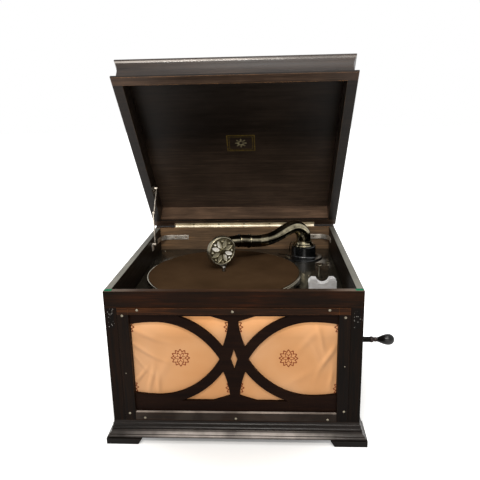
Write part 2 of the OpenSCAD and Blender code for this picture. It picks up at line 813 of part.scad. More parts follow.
crank_x0 = half_w + 6 + gap;
crank_x1 = half_w + 24;
crank_bend = 14;
crank_x2 = 260;
crank_z = winder_z - crank_throw;

module crank_arm() {
    color(nickel) translate([0, winder_y, 0]) {
        translate([crank_x0, 0, winder_z]) rotate([0, 90, 0]) cylinder(r = winder_r + 2.4, h = crank_x1 - crank_bend - crank_x0);
        translate([crank_x1 - crank_bend, 0, winder_z - crank_bend]) rotate([90, 0, 0])
            rotate_extrude(angle = 90) translate([crank_bend, 0]) circle(crank_rod_r, $fn = 32);
        translate([crank_x1, 0, crank_z + crank_bend]) cylinder(r = crank_rod_r, h = crank_throw - 2 * crank_bend, $fn = 32);
        translate([crank_x1 + crank_bend, 0, crank_z + crank_bend]) rotate([90, 0, 0])
            rotate([0, 0, 180]) rotate_extrude(angle = 90) translate([crank_bend, 0]) circle(crank_rod_r, $fn = 32);
        translate([crank_x1 + crank_bend, 0, crank_z]) rotate([0, 90, 0])
            cylinder(r = crank_rod_r, h = crank_x2 + 28.5 - crank_x1 - crank_bend, $fn = 32);
        translate([crank_x2, 0, crank_z]) rotate([0, 90, 0]) cylinder(r = 5.8, h = 15, $fn = 32);
        translate([crank_x2 + 28.4, 0, crank_z]) rotate([0, 90, 0]) cylinder(r = 2, h = knob_len - 6, $fn = 32);
    }
}

module crank_ferrule() {
    color(nickel) translate([crank_x2 + 15, winder_y, crank_z]) rotate([0, 90, 0]) difference() {
        rotate_extrude() polygon([[crank_rod_r + 0.02, 0], [6.6, 0], [7.4, 1.5], [6.4, 3.5], [6.4, 9], [7.6, 11], [7.6, 13.2],
            [crank_rod_r + 0.02, 13.2]]);
        translate([0, 0, -1]) cylinder(r = crank_rod_r + 0.02, h = 20);
    }
}

knob_x0 = crank_x2 + 28.5;
// A turned pear: a narrow neck, a swelling, a rounded end
function pear() = concat([[0, 0]], [for (i = [0:12]) let (t = i / 12)
    [(5.6 + (knob_r - 5.6) * (1 - cos(180 * min(1, t * 1.25))) / 2) * (t < 0.8 ? 1 : cos(90 * (t - 0.8) / 0.22)), knob_len * t]],
    [[0, knob_len]]);

module crank_knob() {
    color(wood_dark) translate([knob_x0, winder_y, crank_z]) rotate([0, 90, 0]) difference() {
        rotate_extrude() polygon(pear());
        translate([0, 0, -1]) cylinder(r = 2 + run, h = knob_len - 3);
    }
}

module intermediate_gear() {
    color(brass_c) translate([middle_at[0], middle_at[1], 0]) {
        translate([0, 0, bottom_plate_z + 0.3]) cylinder(r = 2.5, h = plate_low + plate_t - bottom_plate_z - 1);
        translate([0, 0, level_a]) rotate(wheel_phase) gear(middle_wheel, gear_module, 4, 2.5);
        translate([0, 0, level_b - 1]) rotate(pinion_phase) gear(middle_pinion, gear_module, 7.5, 2.5);
    }
}

// GOVERNOR: a worm that the drive wheel spins, three weights on leaf springs, and a sliding disc

worm_r = 4;
governor_x = table_x - drive_r - 0.8 * gear_module - worm_r - 0.15;
governor_y0 = -62;
governor_y1 = 62;
disc_y = 50;

module along_governor() {
    translate([governor_x, 0, drive_z]) rotate([-90, 0, 0]) children();
}

module governor_worm() {
    lead = worm_starts * 3.1416 * gear_module;
    worm_len = 22;
    color(steel) along_governor() {
        translate([0, 0, governor_y0]) cylinder(r = governor_r, h = governor_y1 - governor_y0, $fn = 32);
        translate([0, 0, table_y - worm_len / 2]) rotate(-180 * worm_len / lead)
            linear_extrude(worm_len, twist = -360 * worm_len / lead, slices = 22, $fn = 12) worm_section();
    }
}

module worm_section() {
    polygon([for (i = [0:worm_starts - 1], e = [[-0.3, -1.5], [-0.13, 0], [0.13, 0], [0.3, -1.5]])
        let (a = 360 * (i + e[0]) / worm_starts, r = worm_r + e[1]) [r * cos(a), r * sin(a)]]);
}

module governor_weights() {
    color(brass_c) along_governor() {
        translate([0, 0, 8]) difference() {
            cylinder(r = 6, h = 6, $fn = 32);
            translate([0, 0, -1]) cylinder(r = governor_r + 0.02, h = 8, $fn = 32);
        }
        for (k = [0:2]) rotate(120 * k + 30) {
            translate([4.8, -2.5, 10]) cube([1, 5, disc_y - 10]);
            translate([5.5, 0, 28]) rotate([0, 90, 0]) cylinder(r = 5, h = 7, $fn = 32);
        }
    }
}

module governor_disc() {
    color(steel) along_governor() translate([0, 0, disc_y]) difference() {
        union() {
            cylinder(r = 15, h = 1.6);
            translate([0, 0, -4]) cylinder(r = 4.5, h = 5);
        }
        translate([0, 0, -5]) cylinder(r = governor_r + run, h = 10, $fn = 32);
    }
}

module governor_bearings() {
    color(iron) difference() {
        for (y = [governor_y0 + 2, governor_y1 - 6]) translate([governor_x - 5, y, drive_z - 6])
            cube([10, 4, plate_low - drive_z + 6]);
        along_governor() translate([0, 0, governor_y0 - 1]) cylinder(r = governor_r + run, h = governor_y1 - governor_y0 + 2, $fn = 32);
    }
}

// SPEED REGULATOR AND BRAKE

knob_x = 165.8;
knob_y = 39.5;
regulator_r = 2.2;
cam_off = 0.6;
cam_reach = knob_y - cam_off + 4 + gap;
regulator_top = board_z + 13;

module regulator_knob() {
    color(nickel) translate([knob_x, knob_y, 0]) {
        translate([0, 0, lever_z - 1]) cylinder(r = regulator_r, h = regulator_top - lever_z + 1);
        translate([0, 0, regulator_top]) rotate_extrude() polygon([[0, 0], [7.6, 0], [8.5, 0.8], [8.5, 1.6], [7.6, 2.4], [0, 2.4]]);
        translate([0, 0, lever_z - 1]) linear_extrude(4) difference() {
            translate([0, -cam_off]) circle(4);
            circle(regulator_r);
        }
    }
}

lever_pivot_x = 112;
lever_y = 58;
lever_z = level_b + 5.6;

// A long lever from under the speed knob to a pad beside the governor's disc
module regulator_lever() {
    tip_x = governor_x + 9;
    color(steel) {
        translate([0, 0, lever_z]) linear_extrude(2) difference() {
            union() {
                polygon([[tip_x, lever_y - 1], [lever_pivot_x, lever_y - 4.5], [knob_x - 6, cam_reach], [knob_x + 5, cam_reach],
                    [knob_x + 5, cam_reach + 6], [lever_pivot_x, lever_y + 4.5], [tip_x, lever_y + 4]]);
                translate([lever_pivot_x, lever_y]) circle(6);
            }
            translate([lever_pivot_x, lever_y]) circle(2.5 + run);
        }
        translate([tip_x - 1, disc_y + 5, drive_z + 4]) cube([6, 2, lever_z - drive_z - 3]);
        translate([tip_x - 1, disc_y + 5, lever_z]) cube([6, lever_y - disc_y - 3, 2]);
        translate([tip_x + 2, disc_y + 5, drive_z + 8]) rotate([90, 0, 0]) cylinder(r = 3, h = 1.2);
    }
}

brake_turn = 57;
brake_at = 141;
brake_x = table_x + brake_at * cos(brake_turn);
brake_y = table_y + brake_at * sin(brake_turn);
brake_z = board_z + 1.2;

// A flat lever under the turntable with a pad inside its rim and a finger that stands out past it
module brake_lever() {
    pad_top = table_z - table_skirt + 5;
    color(nickel) translate([brake_x, brake_y, brake_z]) rotate(brake_turn) {
        linear_extrude(1.6) difference() {
            union() {
                circle(7);
                polygon([[-3, 4], [-3, -4], [34, -2.5], [36, 0], [34, 2.5]]);
                polygon([[5, 0], [-3, -3], [1, -24], [9, -24]]);
            }
            circle(2.5 + run);
        }
        translate([1.6, -23.5, 0.4]) cube([4, 7, pad_top - brake_z]);
    }
}

deck_screw_at = [[inner_x - 14, 104], [inner_x - 14, 84], [knob_x - 23.8, 11], [12 - inner_x, 16 - inner_y],
    [inner_x - 12, 16 - inner_y], [12 - inner_x, inner_y - 16]];

module deck_screws() {
    color(nickel) {
        for (p = deck_screw_at) translate([p[0], p[1], board_z]) screw_head(2.6, 1.6);
        translate([brake_x, brake_y, board_z]) {
            cylinder(r = 2.5, h = 3.4);
            cylinder(r = 4.5, h = 1.1);
            translate([0, 0, 3.2]) cylinder(r = 4, h = 1);
        }
        translate([lever_pivot_x, lever_y, lever_z - 1.6]) cylinder(r = 2.5, h = board_low - lever_z + 1.6);
        translate([lever_pivot_x, lever_y, lever_z - 1.6]) cylinder(r = 4, h = 1.3);
    }
}

// TONEARM

arm_x = 139.2;
arm_y = 141.7;
throat_r = 20;
arm_top = board_z + arm_base_h;
arm_bore = 18;

module tonearm_base() {
    color(iron) translate([arm_x, arm_y, board_z]) difference() {
        rotate_extrude($fn = 96) polygon([[arm_bore, 0], [arm_flange_r, 0], [arm_flange_r, 2], [arm_flange_r - 1, 3],
            [arm_base_r + 5, 3.6], [arm_base_r + 1, 6.5], [arm_base_r, 9], [arm_base_r, arm_base_h - 1],
            [arm_base_r - 1, arm_base_h], [arm_bore, arm_base_h]]);
        translate([0, 0, -1]) cylinder(r = arm_bore + run, h = arm_base_h + 2);
    }
}

// The tube's middle line, from the base to the swivel: a swan's neck
arm_line = [[139.2, 141.7, 265], [139.2, 141.7, 274], [136.5, 139.5, 288], [128, 132.5, 299.5], [116, 122.5, 305.5],
    [101, 110, 303], [84, 96, 296], [66, 81.5, 290.5], [48, 68.5, 289], [30, 56.5, 291], [16, 48.6, 293.5]];
arm_lift = rim_z - 283;
function arm_radius(i) = arm_tip_r + (arm_root_r - arm_tip_r) * max(0, 1 - i / 7);
arm_tube_line = [for (i = [0:len(arm_line) - 1]) [arm_line[i][0], arm_line[i][1], arm_line[i][2] + arm_lift, arm_radius(i)]];

module tonearm_tube() {
    color(nickel) pipe(smooth(arm_tube_line, 3), [0.64, -0.77, 0], arm_wall, 24);
}

swivel_at = [16, 48.6, 293.5 + arm_lift];
swivel_dir = unit([-0.866, -0.474, 0.162]);

module at_swivel() {
    translate(swivel_at) rotate([0, 0, atan2(swivel_dir[1], swivel_dir[0])]) rotate([0, acos(swivel_dir[2]), 0]) children();
}

module tonearm_collar() {
    color(nickel) {
        translate([arm_x, arm_y, 0]) difference() {
            rotate_extrude() polygon([[arm_root_r, board_z + 6], [arm_bore, board_z + 6], [arm_bore, arm_top + gap],
                [23.5, arm_top + gap], [24, arm_top + 1.5], [23, arm_top + 3.5], [20, arm_top + 5], [18.6, arm_top + 8],
                [18, arm_top + 11.5], [arm_root_r, arm_top + 11.5]]);
            translate([0, 0, board_z]) cylinder(r = arm_root_r + 0.05, h = 60);
        }
        at_swivel() translate([0, 0, -4]) difference() {
            rotate_extrude() polygon([[arm_tip_r, 0], [arm_tip_r + 1, 0], [arm_tip_r + 1.8, 1.2], [arm_tip_r + 1.8, 2.6],
                [arm_tip_r + 1, 3.8], [arm_tip_r, 3.8]]);
            translate([0, 0, -3]) cylinder(r = arm_tip_r + 0.15, h = 10);
        }
    }
}

// A forked strip from the tube's collar down to the brake's finger
module trip_arm() {
    foot_z = board_z + 4;
    top = arm_top;
    color(nickel) translate([arm_x, arm_y, 0]) rotate([0, 0, -11]) {
        translate([0, 3.2, 0]) rotate([90, 0, 0]) linear_extrude(6.4) polygon([[-20.3, top + 7], [-28.3, top + 7],
            [-31, top + 3.4], [-34.2, foot_z + 5.6], [-38.2, foot_z + 1.6], [-46, foot_z + 1.6], [-46, foot_z],
            [-37.6, foot_z], [-32.6, foot_z + 5], [-29.4, top + 2.8], [-27.4, top + 5.4], [-20.3, top + 5.4]]);
        translate([0, 0, foot_z]) linear_extrude(1.6) polygon([[-45, -3.2], [-45, 3.2], [-58, 1.2], [-59, 0], [-58, -1.2]]);
    }
}

// SOUNDBOX on its swivelling elbow

face_turn = 31.7;
box_at = [-36, -12, 288.3 + arm_lift];
face_dir = [sin(face_turn), -cos(face_turn), 0];
elbow_corner = [-48.6, 9, 291.5 + arm_lift];
elbow_in = [-34, 19.3, 298 + arm_lift];
box_back = box_at - face_dir * (box_t / 2 + 3.4);
function bent(p, q, r, t) = (1 - t) * (1 - t) * p + 2 * t * (1 - t) * q + t * t * r;
elbow_start = swivel_at + 0.4 * swivel_dir;
elbow_line = concat(
    [for (p = [[elbow_start, arm_tip_r], [elbow_start + 8 * swivel_dir, arm_tip_r], [elbow_start + 16 * swivel_dir, arm_tip_r],
        [elbow_start + 22 * swivel_dir, arm_tip_r - 0.6], [[-19, 28.6, 298 + arm_lift], arm_tip_r - 1.6]]) [p[0][0], p[0][1], p[0][2], p[1]]],
    [for (k = [0:8]) let (p = bent(elbow_in, elbow_corner, box_back, k / 8)) [p[0], p[1], p[2], 10.4 - 0.15 * k]]);

module soundbox_elbow() {
    color(nickel) {
        pipe(elbow_line, [0.48, -0.87, 0], arm_wall, 24);
        translate(elbow_start + 20 * swivel_dir) rotate([0, 0, atan2(swivel_dir[1], swivel_dir[0])])
            rotate([0, acos(swivel_dir[2]), 0]) difference() {
                rotate_extrude() polygon([[arm_tip_r - 1, 0], [arm_tip_r + 0.8, 0], [arm_tip_r + 1.3, 1],
                    [arm_tip_r + 0.8, 2.2], [arm_tip_r - 1, 2.2]]);
                translate([0, 0, -1]) cylinder(r = arm_tip_r - 1, h = 5);
            }
        at_soundbox() translate([0, 0, -box_t / 2 - 4.6]) difference() {
            cylinder(r = 11, h = 4.6);
            translate([0, 0, -1]) cylinder(r = 8, h = 7);
        }
    }
}

// Everything in the soundbox is turned on one axis, which looks forward
module at_soundbox() {
    translate(box_at) rotate([0, 0, face_turn]) rotate([90, 0, 0]) children();
}

module soundbox_body() {
    back = -box_t / 2;
    color(nickel) at_soundbox() rotate_extrude($fn = 96) polygon([[8, back], [box_r - 3, back], [box_r, back + 3],
        [box_r, box_t / 2 - 4], [box_r - 3.4, box_t / 2 - 4], [box_r - 3.4, back + 6], [8, back + 4]]);
}

petals = 8;

module petal() {
    intersection() {
        translate([14, 7.6]) circle(10.5);
        translate([14, -7.6]) circle(10.5);
    }
}

module soundbox_front() {
    front = box_t / 2;
    color(nickel) at_soundbox() {
        difference() {
            rotate_extrude($fn = 96) polygon([[0, front - 1.2], [22, front - 2.4], [24.5, front - 3.9], [box_r, front - 3.9], [box_r, front - 1],
                [box_r - 1, front], [25.4, front], [23, front - 1.2], [21, front - 1.2], [0, front + 0.4]]);
            translate([0, 0, front - 6]) linear_extrude(9) for (k = [0:petals - 1]) {
                rotate(360 * (k + 0.5) / petals) petal();
                rotate(360 * k / petals) translate([18.4, 0]) circle(1.5, $fn = 24);
            }
        }
        translate([0, 0, front]) rotate_extrude() polygon([[0, 0.2], [4.6, 0.2], [4.2, 1.4], [2.4, 2.4], [0, 2.6]]);
    }
}

module soundbox_diaphragm() {
    color([0.8, 0.8, 0.8]) at_soundbox() rotate_extrude($fn = 96) polygon([[0, 2.2], [10, 1.2], [20, 0.4], [box_r - 3.7, 0.4],
        [box_r - 3.7, -1.3], [24, -1.3], [24, -0.4], [20, -0.4], [10, 0.4], [0, 1.4]]);
}

// The bar hangs in front of the rim and holds the needle in a socket at its foot
bar_z = -box_r;

module needle_bar() {
    color(nickel) at_soundbox() {
        translate([-2, bar_z - 1.2, box_t / 2 + 0.2]) cube([4, 8, 4]);
        translate([0, bar_z + 1, box_t / 2 + 2.6]) rotate([0, 90, 0]) cylinder(r = 1.2, h = 6, $fn = 24);
        translate([6, bar_z + 1, box_t / 2 + 2.6]) rotate([0, 90, 0]) cylinder(r = 2.3, h = 2.4, $fn = 24);
    }
}

module needle() {
    top = bar_z - 1.8;
    tip = table_z + gap - box_at[2];
    lean = 49;
    shaft = (top - tip) / sin(lean);
    color(steel) at_soundbox() translate([0, top, box_t / 2 + 1.7]) rotate([lean, 0, 0]) {
        cylinder(r = needle_r, h = shaft * 0.5, $fn = 16);
        translate([0, 0, shaft * 0.5]) cylinder(r1 = needle_r, r2 = 0.12, h = shaft * 0.5, $fn = 16);
    }
}

// HORN: a wooden passage from under the tonearm down and forward to the grille

horn_t = 3;
mouth_y = fret_y + fret_t + 0.6 + gap;
// Middle, half width, half height and roundness of each section, and its tilt from upright
horn_line = [
    [[139.2, 141.7, board_low - gap], 20, 20, 1, 90], [[139.2, 141.7, 185], 21, 21, 1, 90], [[139.2, 141.7, 160], 23, 23, 1, 90],
    [[138, 138, 135], 26, 26, 0.9, 80], [[134, 122, 112], 32, 29, 0.75, 50], [[127, 96, 98], 40, 33, 0.55, 20],
    [[116, 60, 93], 52, 36, 0.4, 5], [[100, 20, 92.5], 68, 37, 0.3, 0], [[78, -24, 92.5], 90, 38, 0.22, 0],
    [[54, -60, 92.5], 116, 38, 0.16, 0], [[34, -90, 93], 138, 39, 0.12, 0], [[14, -126, 106], 156, 52, 0.1, 0],
    [[4, -166, 122], 168, 66, 0.08, 0], [[0, mouth_y, 137.5], 176, 78, 0.06, 0]];

// One rounded section's outline, unit square to unit circle by its roundness
function section_point(w, h, round, a) = let (c = cos(a), s = sin(a), k = max(abs(c), abs(s)))
    [w * (round * c + (1 - round) * c / k), h * (round * s + (1 - round) * s / k)];
function horn_ring(s, shrink) = let (c = s[0], w = s[1] - shrink, h = s[2] - shrink, tilt = s[4])
    [for (k = [0:23]) let (q = section_point(w, h, s[3], 15 * k))
        [c[0] + q[0], c[1] + q[1] * sin(tilt), c[2] + q[1] * cos(tilt)]];

module horn() {
    m = len(horn_line);
    skin = concat([for (s = horn_line, p = horn_ring(s, 0)) p], [for (s = horn_line, p = horn_ring(s, horn_t)) p]);
    far = 24 * m;
    walls = [for (i = [0:m - 2], k = [0:23]) let (a = i * 24 + k, b = i * 24 + (k + 1) % 24) each
        [[a, a + 24, b + 24], [a, b + 24, b]]];
    bores = [for (i = [0:m - 2], k = [0:23]) let (a = far + i * 24 + k, b = far + i * 24 + (k + 1) % 24) each
        [[a, b + 24, a + 24], [a, b, b + 24]]];
    low = [for (k = [0:23]) [k, (k + 1) % 24, far + (k + 1) % 24, far + k]];
    top = 24 * (m - 1);
    high = [for (k = [0:23]) [top + k, far + top + k, far + top + (k + 1) % 24, top + (k + 1) % 24]];
    color([0.45, 0.33, 0.22]) polyhedron(skin, concat(walls, bores, low, high), convexity = 8);
}

case_side(-1);  // case_side_left
case_side(1);  // case_side_right
case_back();
case_front_frame();
case_bottom();
plinth_moulding();
feet();
motor_board();
board_battens();
grille_strips();
grille_fret();
grille_cloth();
grille_screws();
tin_clips();
needle_pocket();
hinge_leaf_case();
hinge_pin();
stay_bracket_case();
crank_escutcheon();
deck_screws();
tonearm_base();
horn();
motor_top_plate();
motor_bottom_plate();
governor_bearings();
lid_frame();
lid_panel();
lid_band();
hinge_leaf_lid();
stay_bracket_lid();
stay_lower_arm();
stay_upper_arm();
turntable_platter();
turntable_felt();
turntable_spindle();
governor_drive_wheel();
spring_barrel();
mainspring();
winding_arbor();
winding_wheel();
winding_shaft();
crank_arm();
crank_ferrule();
crank_knob();
intermediate_gear();
governor_worm();
governor_weights();
governor_disc();
regulator_knob();
regulator_lever();
brake_lever();
tonearm_tube();
tonearm_collar();
trip_arm();
soundbox_elbow();
soundbox_body();
soundbox_front();
soundbox_diaphragm();
needle_bar();
needle();
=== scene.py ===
"""A tabletop gramophone: a dark stained oak case with its lid open, a felted turntable, a nickelled
swan-neck tonearm and a fretted front over cloth. Shapes are worked out in millimetres and stored in
metres, X right, Y back, Z up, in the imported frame, with the origin on the table under the case."""

import math

import bmesh
import bpy
import numpy as np
from mathutils import Matrix, Vector


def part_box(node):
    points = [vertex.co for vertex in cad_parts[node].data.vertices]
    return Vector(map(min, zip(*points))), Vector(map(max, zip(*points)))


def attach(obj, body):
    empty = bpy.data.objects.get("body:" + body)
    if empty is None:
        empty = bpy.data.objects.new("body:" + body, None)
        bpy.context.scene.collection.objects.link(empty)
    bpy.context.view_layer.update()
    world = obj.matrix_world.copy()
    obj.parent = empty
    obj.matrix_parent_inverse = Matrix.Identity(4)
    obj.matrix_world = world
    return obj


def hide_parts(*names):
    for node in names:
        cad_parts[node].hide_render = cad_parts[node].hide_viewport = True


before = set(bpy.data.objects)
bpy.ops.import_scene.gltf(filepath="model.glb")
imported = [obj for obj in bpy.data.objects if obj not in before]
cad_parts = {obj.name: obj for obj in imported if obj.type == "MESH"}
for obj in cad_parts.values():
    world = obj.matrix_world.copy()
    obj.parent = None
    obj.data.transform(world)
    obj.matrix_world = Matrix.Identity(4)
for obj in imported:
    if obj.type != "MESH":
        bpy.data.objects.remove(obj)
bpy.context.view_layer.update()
mm = 0.001


# The studio: a white floor that keeps a shadow near the case, a white surround that the camera and
# shiny finishes see, a softer one that lights the object, and three broad soft lamps.
def ink(code):
    """Turns an sRGB hex colour into linear red, green and blue, with an alpha of 1."""
    parts = np.array([int(code[i : i + 2], 16) for i in (1, 3, 5)]) / 255
    linear = np.where(parts <= 0.04045, parts / 12.92, ((parts + 0.055) / 1.055) ** 2.4)
    return (*[float(v) for v in linear], 1.0)


def add(tree, kind, *sockets, stops=(), **options):
    """Adds a node, sets its options and fills its sockets, in their order or by name from one dict. A
    node or an output is linked in, another value is set, and stops are a ramp's places and colours.
    In order, a noise takes place, scale, detail and roughness, a map range takes a value, the range it
    comes from and the range it goes to, and a mix takes the second one's share and the two."""
    node = tree.nodes.new(kind if "Node" in kind else "ShaderNode" + kind)
    for key, value in options.items():
        setattr(node, key, value)
    in_use = [socket for socket in node.inputs if socket.enabled]
    by_name = sockets and isinstance(sockets[0], dict)
    for key, value in sockets[0].items() if by_name else enumerate(sockets):
        socket = node.inputs[key] if by_name else in_use[key]
        if isinstance(value, bpy.types.Node):
            value = next(output for output in value.outputs if output.enabled)
        if isinstance(value, bpy.types.NodeSocket):
            tree.links.new(value, socket)
        else:
            socket.default_value = value
    for k, (place, code) in enumerate(stops):
        points = node.color_ramp.elements
        point = points[k] if k < len(points) else points.new(place)
        point.position = place
        point.color = ink(code)
    return node


def new_material(name):
    """A new material, its emptied node tree, and the object coordinates that its patterns read."""
    material = bpy.data.materials.new(name)
    material.use_nodes = True
    tree = material.node_tree
    tree.nodes.clear()
    return material, tree, add(tree, "TexCoord").outputs["Object"]


def seen_directly(tree):
    """1 on rays from the camera, from gloss and through glass, and 0 on rays that only light things."""
    ray = add(tree, "LightPath").outputs
    either = add(tree, "Math", ray["Is Camera Ray"], ray["Is Glossy Ray"], operation="MAXIMUM")
    return add(tree, "Math", either, ray["Is Transmission Ray"], operation="MAXIMUM")


def stand_in_scene(name, data):
    """Puts a camera, lamp or mesh in the scene as an object of that name."""
    holder = bpy.data.objects.new(name, data)
    bpy.context.scene.collection.objects.link(holder)
    return holder


camera = stand_in_scene("camera", bpy.data.cameras.new("camera"))
focal_px = 541.6
photo_px = 480
pitch = 0.2652
yaw = -0.0582
roll = -0.0222
forward = Vector((math.sin(yaw) * math.cos(pitch), math.cos(yaw) * math.cos(pitch), -math.sin(pitch)))
level = Vector((math.cos(yaw), -math.sin(yaw), 0))
upright = level.cross(forward)
right = math.cos(roll) * level + math.sin(roll) * upright
up = -math.sin(roll) * level + math.cos(roll) * upright
turned_view = Matrix((right, up, -forward)).transposed().to_4x4()
camera.matrix_world = Matrix.Translation((0.06365, -1.0562, 0.5963)) @ turned_view
camera.data.lens = focal_px / photo_px * camera.data.sensor_width
camera.data.clip_start = 0.01
bpy.context.scene.camera = camera
bpy.context.scene.view_settings.view_transform = "Standard"

world = bpy.data.worlds.new("white_studio")
bpy.context.scene.world = world
world.use_nodes = True
sky = world.node_tree
sky.nodes.clear()
shown = add(sky, "Background", (1, 1, 1, 1), 1.0)
lit = add(sky, "Background", ink("#f4f4f2"), 0.5)
add(sky, "OutputWorld", add(sky, "MixShader", seen_directly(sky), lit, shown))

floor_mesh = bpy.data.meshes.new("floor")
floor_mesh.from_pydata([(-8, -8, 0), (8, -8, 0), (8, 8, 0), (-8, 8, 0)], [], [(0, 1, 2, 3)])
floor = stand_in_scene("floor", floor_mesh)
# White paper: the camera sees its shadow within half a metre of the case and plain white beyond
paper, tree, spot = new_material("white_paper_sweep")
matt = add(tree, "BsdfDiffuse", ink("#f6f6f6"))
narrowed = add(tree, "VectorMath", spot, (1.35, 1, 0), operation="MULTIPLY")
away = add(tree, "VectorMath", narrowed, operation="LENGTH")
beyond = add(tree, "MapRange", away, 0.25, 0.5, 0.14, 1, interpolation_type="SMOOTHSTEP")
lift = add(tree, "Math", seen_directly(tree), beyond, operation="MULTIPLY")
glow = add(tree, "Emission", (1, 1, 1, 1), lift)
add(tree, "OutputMaterial", add(tree, "AddShader", matt, glow))
floor_mesh.materials.append(paper)


def lamp(name, place, target, size, power, colour):
    """A broad soft lamp at place that faces target. size is its width and height."""
    data = bpy.data.lights.new(name, "AREA")
    data.shape = "RECTANGLE"
    data.size, data.size_y = size
    data.energy = power
    data.color = ink(colour)[:3]
    holder = stand_in_scene(name, data)
    holder.location = place
    holder.rotation_euler = (Vector(target) - Vector(place)).to_track_quat("-Z", "Y").to_euler()


lamp("key_lamp", (0.0, -1.9, 2.2), (0, 0, 0.25), (1.3, 0.35), 32, "#fffaf3")
lamp("fill_lamp", (-0.1, -2.6, 0.85), (0, 0, 0.2), (1.8, 1.0), 11, "#fffaf3")
lamp("top_lamp", (0.1, -0.5, 2.4), (0, 0, 0.2), (1.0, 1.0), 12, "#fffdfa")


# The case: oak boards stained almost black and wiped with shellac. The pores stay a shade darker,
# streaks run with the grain, and the edges are rubbed through to a warm brown.
def spaced(size):
    """The scale of a pattern whose patches, fibres or grains lie size mm apart."""
    return 1000 / size


def rubbed_edges(tree):
    """1 along edges within 1.5 mm and 0 on flat ground, from how far a rounded normal leans."""
    soft = add(tree, "Bevel", 1.5 * mm, samples=4)
    true = add(tree, "NewGeometry").outputs["Normal"]
    lean = add(tree, "VectorMath", soft, true, operation="DOT_PRODUCT")
    return add(tree, "MapRange", lean, 0.99, 0.7)


def height_of(tree, spot):
    """The height of a point, or the upward lean of a direction: its z."""
    return add(tree, "SeparateXYZ", spot).outputs["Z"]


def facing_up(tree):
    """How far a face looks up, from -1 to 1."""
    return height_of(tree, add(tree, "NewGeometry").outputs["Normal"])


def off_middle(tree, spot):
    """How far a point lies to the left or right of the case's middle."""
    return add(tree, "Math", add(tree, "SeparateXYZ", spot).outputs["X"], operation="ABSOLUTE")


def on_uprights(tree, spot, inner, top):
    """1 on upright pieces that start at inner to either side of the middle and end at top, else 0."""
    beyond = add(tree, "Math", off_middle(tree, spot), inner, operation="GREATER_THAN")
    below = add(tree, "Math", height_of(tree, spot), top, operation="LESS_THAN")
    return add(tree, "Math", beyond, below, operation="MULTIPLY")


# How a mix works on colours: one is painted over the other, or tints it by multiplying
painted = {"data_type": "RGBA"}
tinted = {"data_type": "RGBA", "blend_type": "MULTIPLY"}


def stained_oak(name, grain="X", turn=0.0, tones=("#0c0806", "#140e0a", "#1e150e"), wear_and_highlight="#4a301d",
                shine=0.4, level=0.1, wear=0.5, by_uv=False, uprights=None, ledge_sheen_and_dust=None, extra=None):
    """Stained oak. grain is the axis of the fibres once the piece is turned back about X by turn, and
    uprights gives where on_uprights stands it up. tones run from pores to streaks, shine is the
    roughness and level the gloss's strength. ledge_sheen_and_dust is the colour painted on faces
    that look straight up, as a painted sheen mixed with dust, and how far from the middle that sets
    in. extra adds to it."""
    material, tree, spot = new_material(name)
    place = add(tree, "TexCoord").outputs["UV"] if by_uv else spot
    if turn:
        place = add(tree, "Mapping", {"Vector": place, "Rotation": (turn, 0, 0)})
    along = [0.05 if axis == grain else 1.0 for axis in "XYZ"]
    fibres = add(tree, "Mapping", {"Vector": place, "Scale": along})
    if uprights:
        standing = add(tree, "Mapping", {"Vector": place, "Scale": (1, 1, 0.05)})
        upright = on_uprights(tree, place, *uprights)
        fibres = add(tree, "Mix", upright, fibres, standing, data_type="VECTOR")
    # The pores are drawn twice as wide as the real ones, so that they show
    streaks = add(tree, "TexNoise", fibres, spaced(7.41), 4, 0.6, 2, 0.5)
    pores = add(tree, "TexNoise", fibres, spaced(1.5625), 2, 0.7)
    cloud = add(tree, "TexNoise", place, spaced(125), 3)
    grainy = add(tree, "Mix", 0.4, streaks, pores, data_type="FLOAT")
    figure = add(tree, "Math", cloud, 0.5, grainy, operation="MULTIPLY_ADD")
    shade = add(tree, "ValToRGB", figure, stops=zip((0.55, 0.75, 0.95), tones))
    speckle = add(tree, "TexNoise", place, spaced(16.67), 4, 0.65)
    chips = add(tree, "MapRange", speckle, 0.42, 0.6, 0.25 * wear, wear)
    here = add(tree, "Math", chips, rubbed_edges(tree), operation="MULTIPLY")
    shade = add(tree, "Mix", here, shade, ink(wear_and_highlight), **painted)
    gloss = add(tree, "MapRange", grainy, 0.3, 0.7, shine - 0.06, shine + 0.12)
    if ledge_sheen_and_dust:
        colour, sets_in = ledge_sheen_and_dust
        # Painted sheen: faces that look up are painted paler, with some dust, as if lit from above
        upward = add(tree, "MapRange", facing_up(tree), 0.35, 0.65, 0, 0.85)
        dust_and_sheen_film = add(tree, "Math", upward, cloud, operation="MULTIPLY")
        out_by = off_middle(tree, spot)
        sheen_spread = add(tree, "MapRange", out_by, sets_in - 0.03, sets_in + 0.03, 0.25, 1.7)
        here = add(tree, "Math", dust_and_sheen_film, sheen_spread, operation="MULTIPLY", use_clamp=True)
        shade = add(tree, "Mix", here, shade, ink(colour), **painted)
    if extra:
        shade, gloss = extra(tree, spot, shade, gloss)
    relief = add(tree, "Bump", {"Strength": 0.4, "Distance": 0.2 * mm, "Height": pores})
    add(tree, "OutputMaterial", add(tree, "BsdfPrincipled", {
        "Base Color": shade, "Roughness": gloss, "Normal": relief, "Specular IOR Level": level}))
    return material


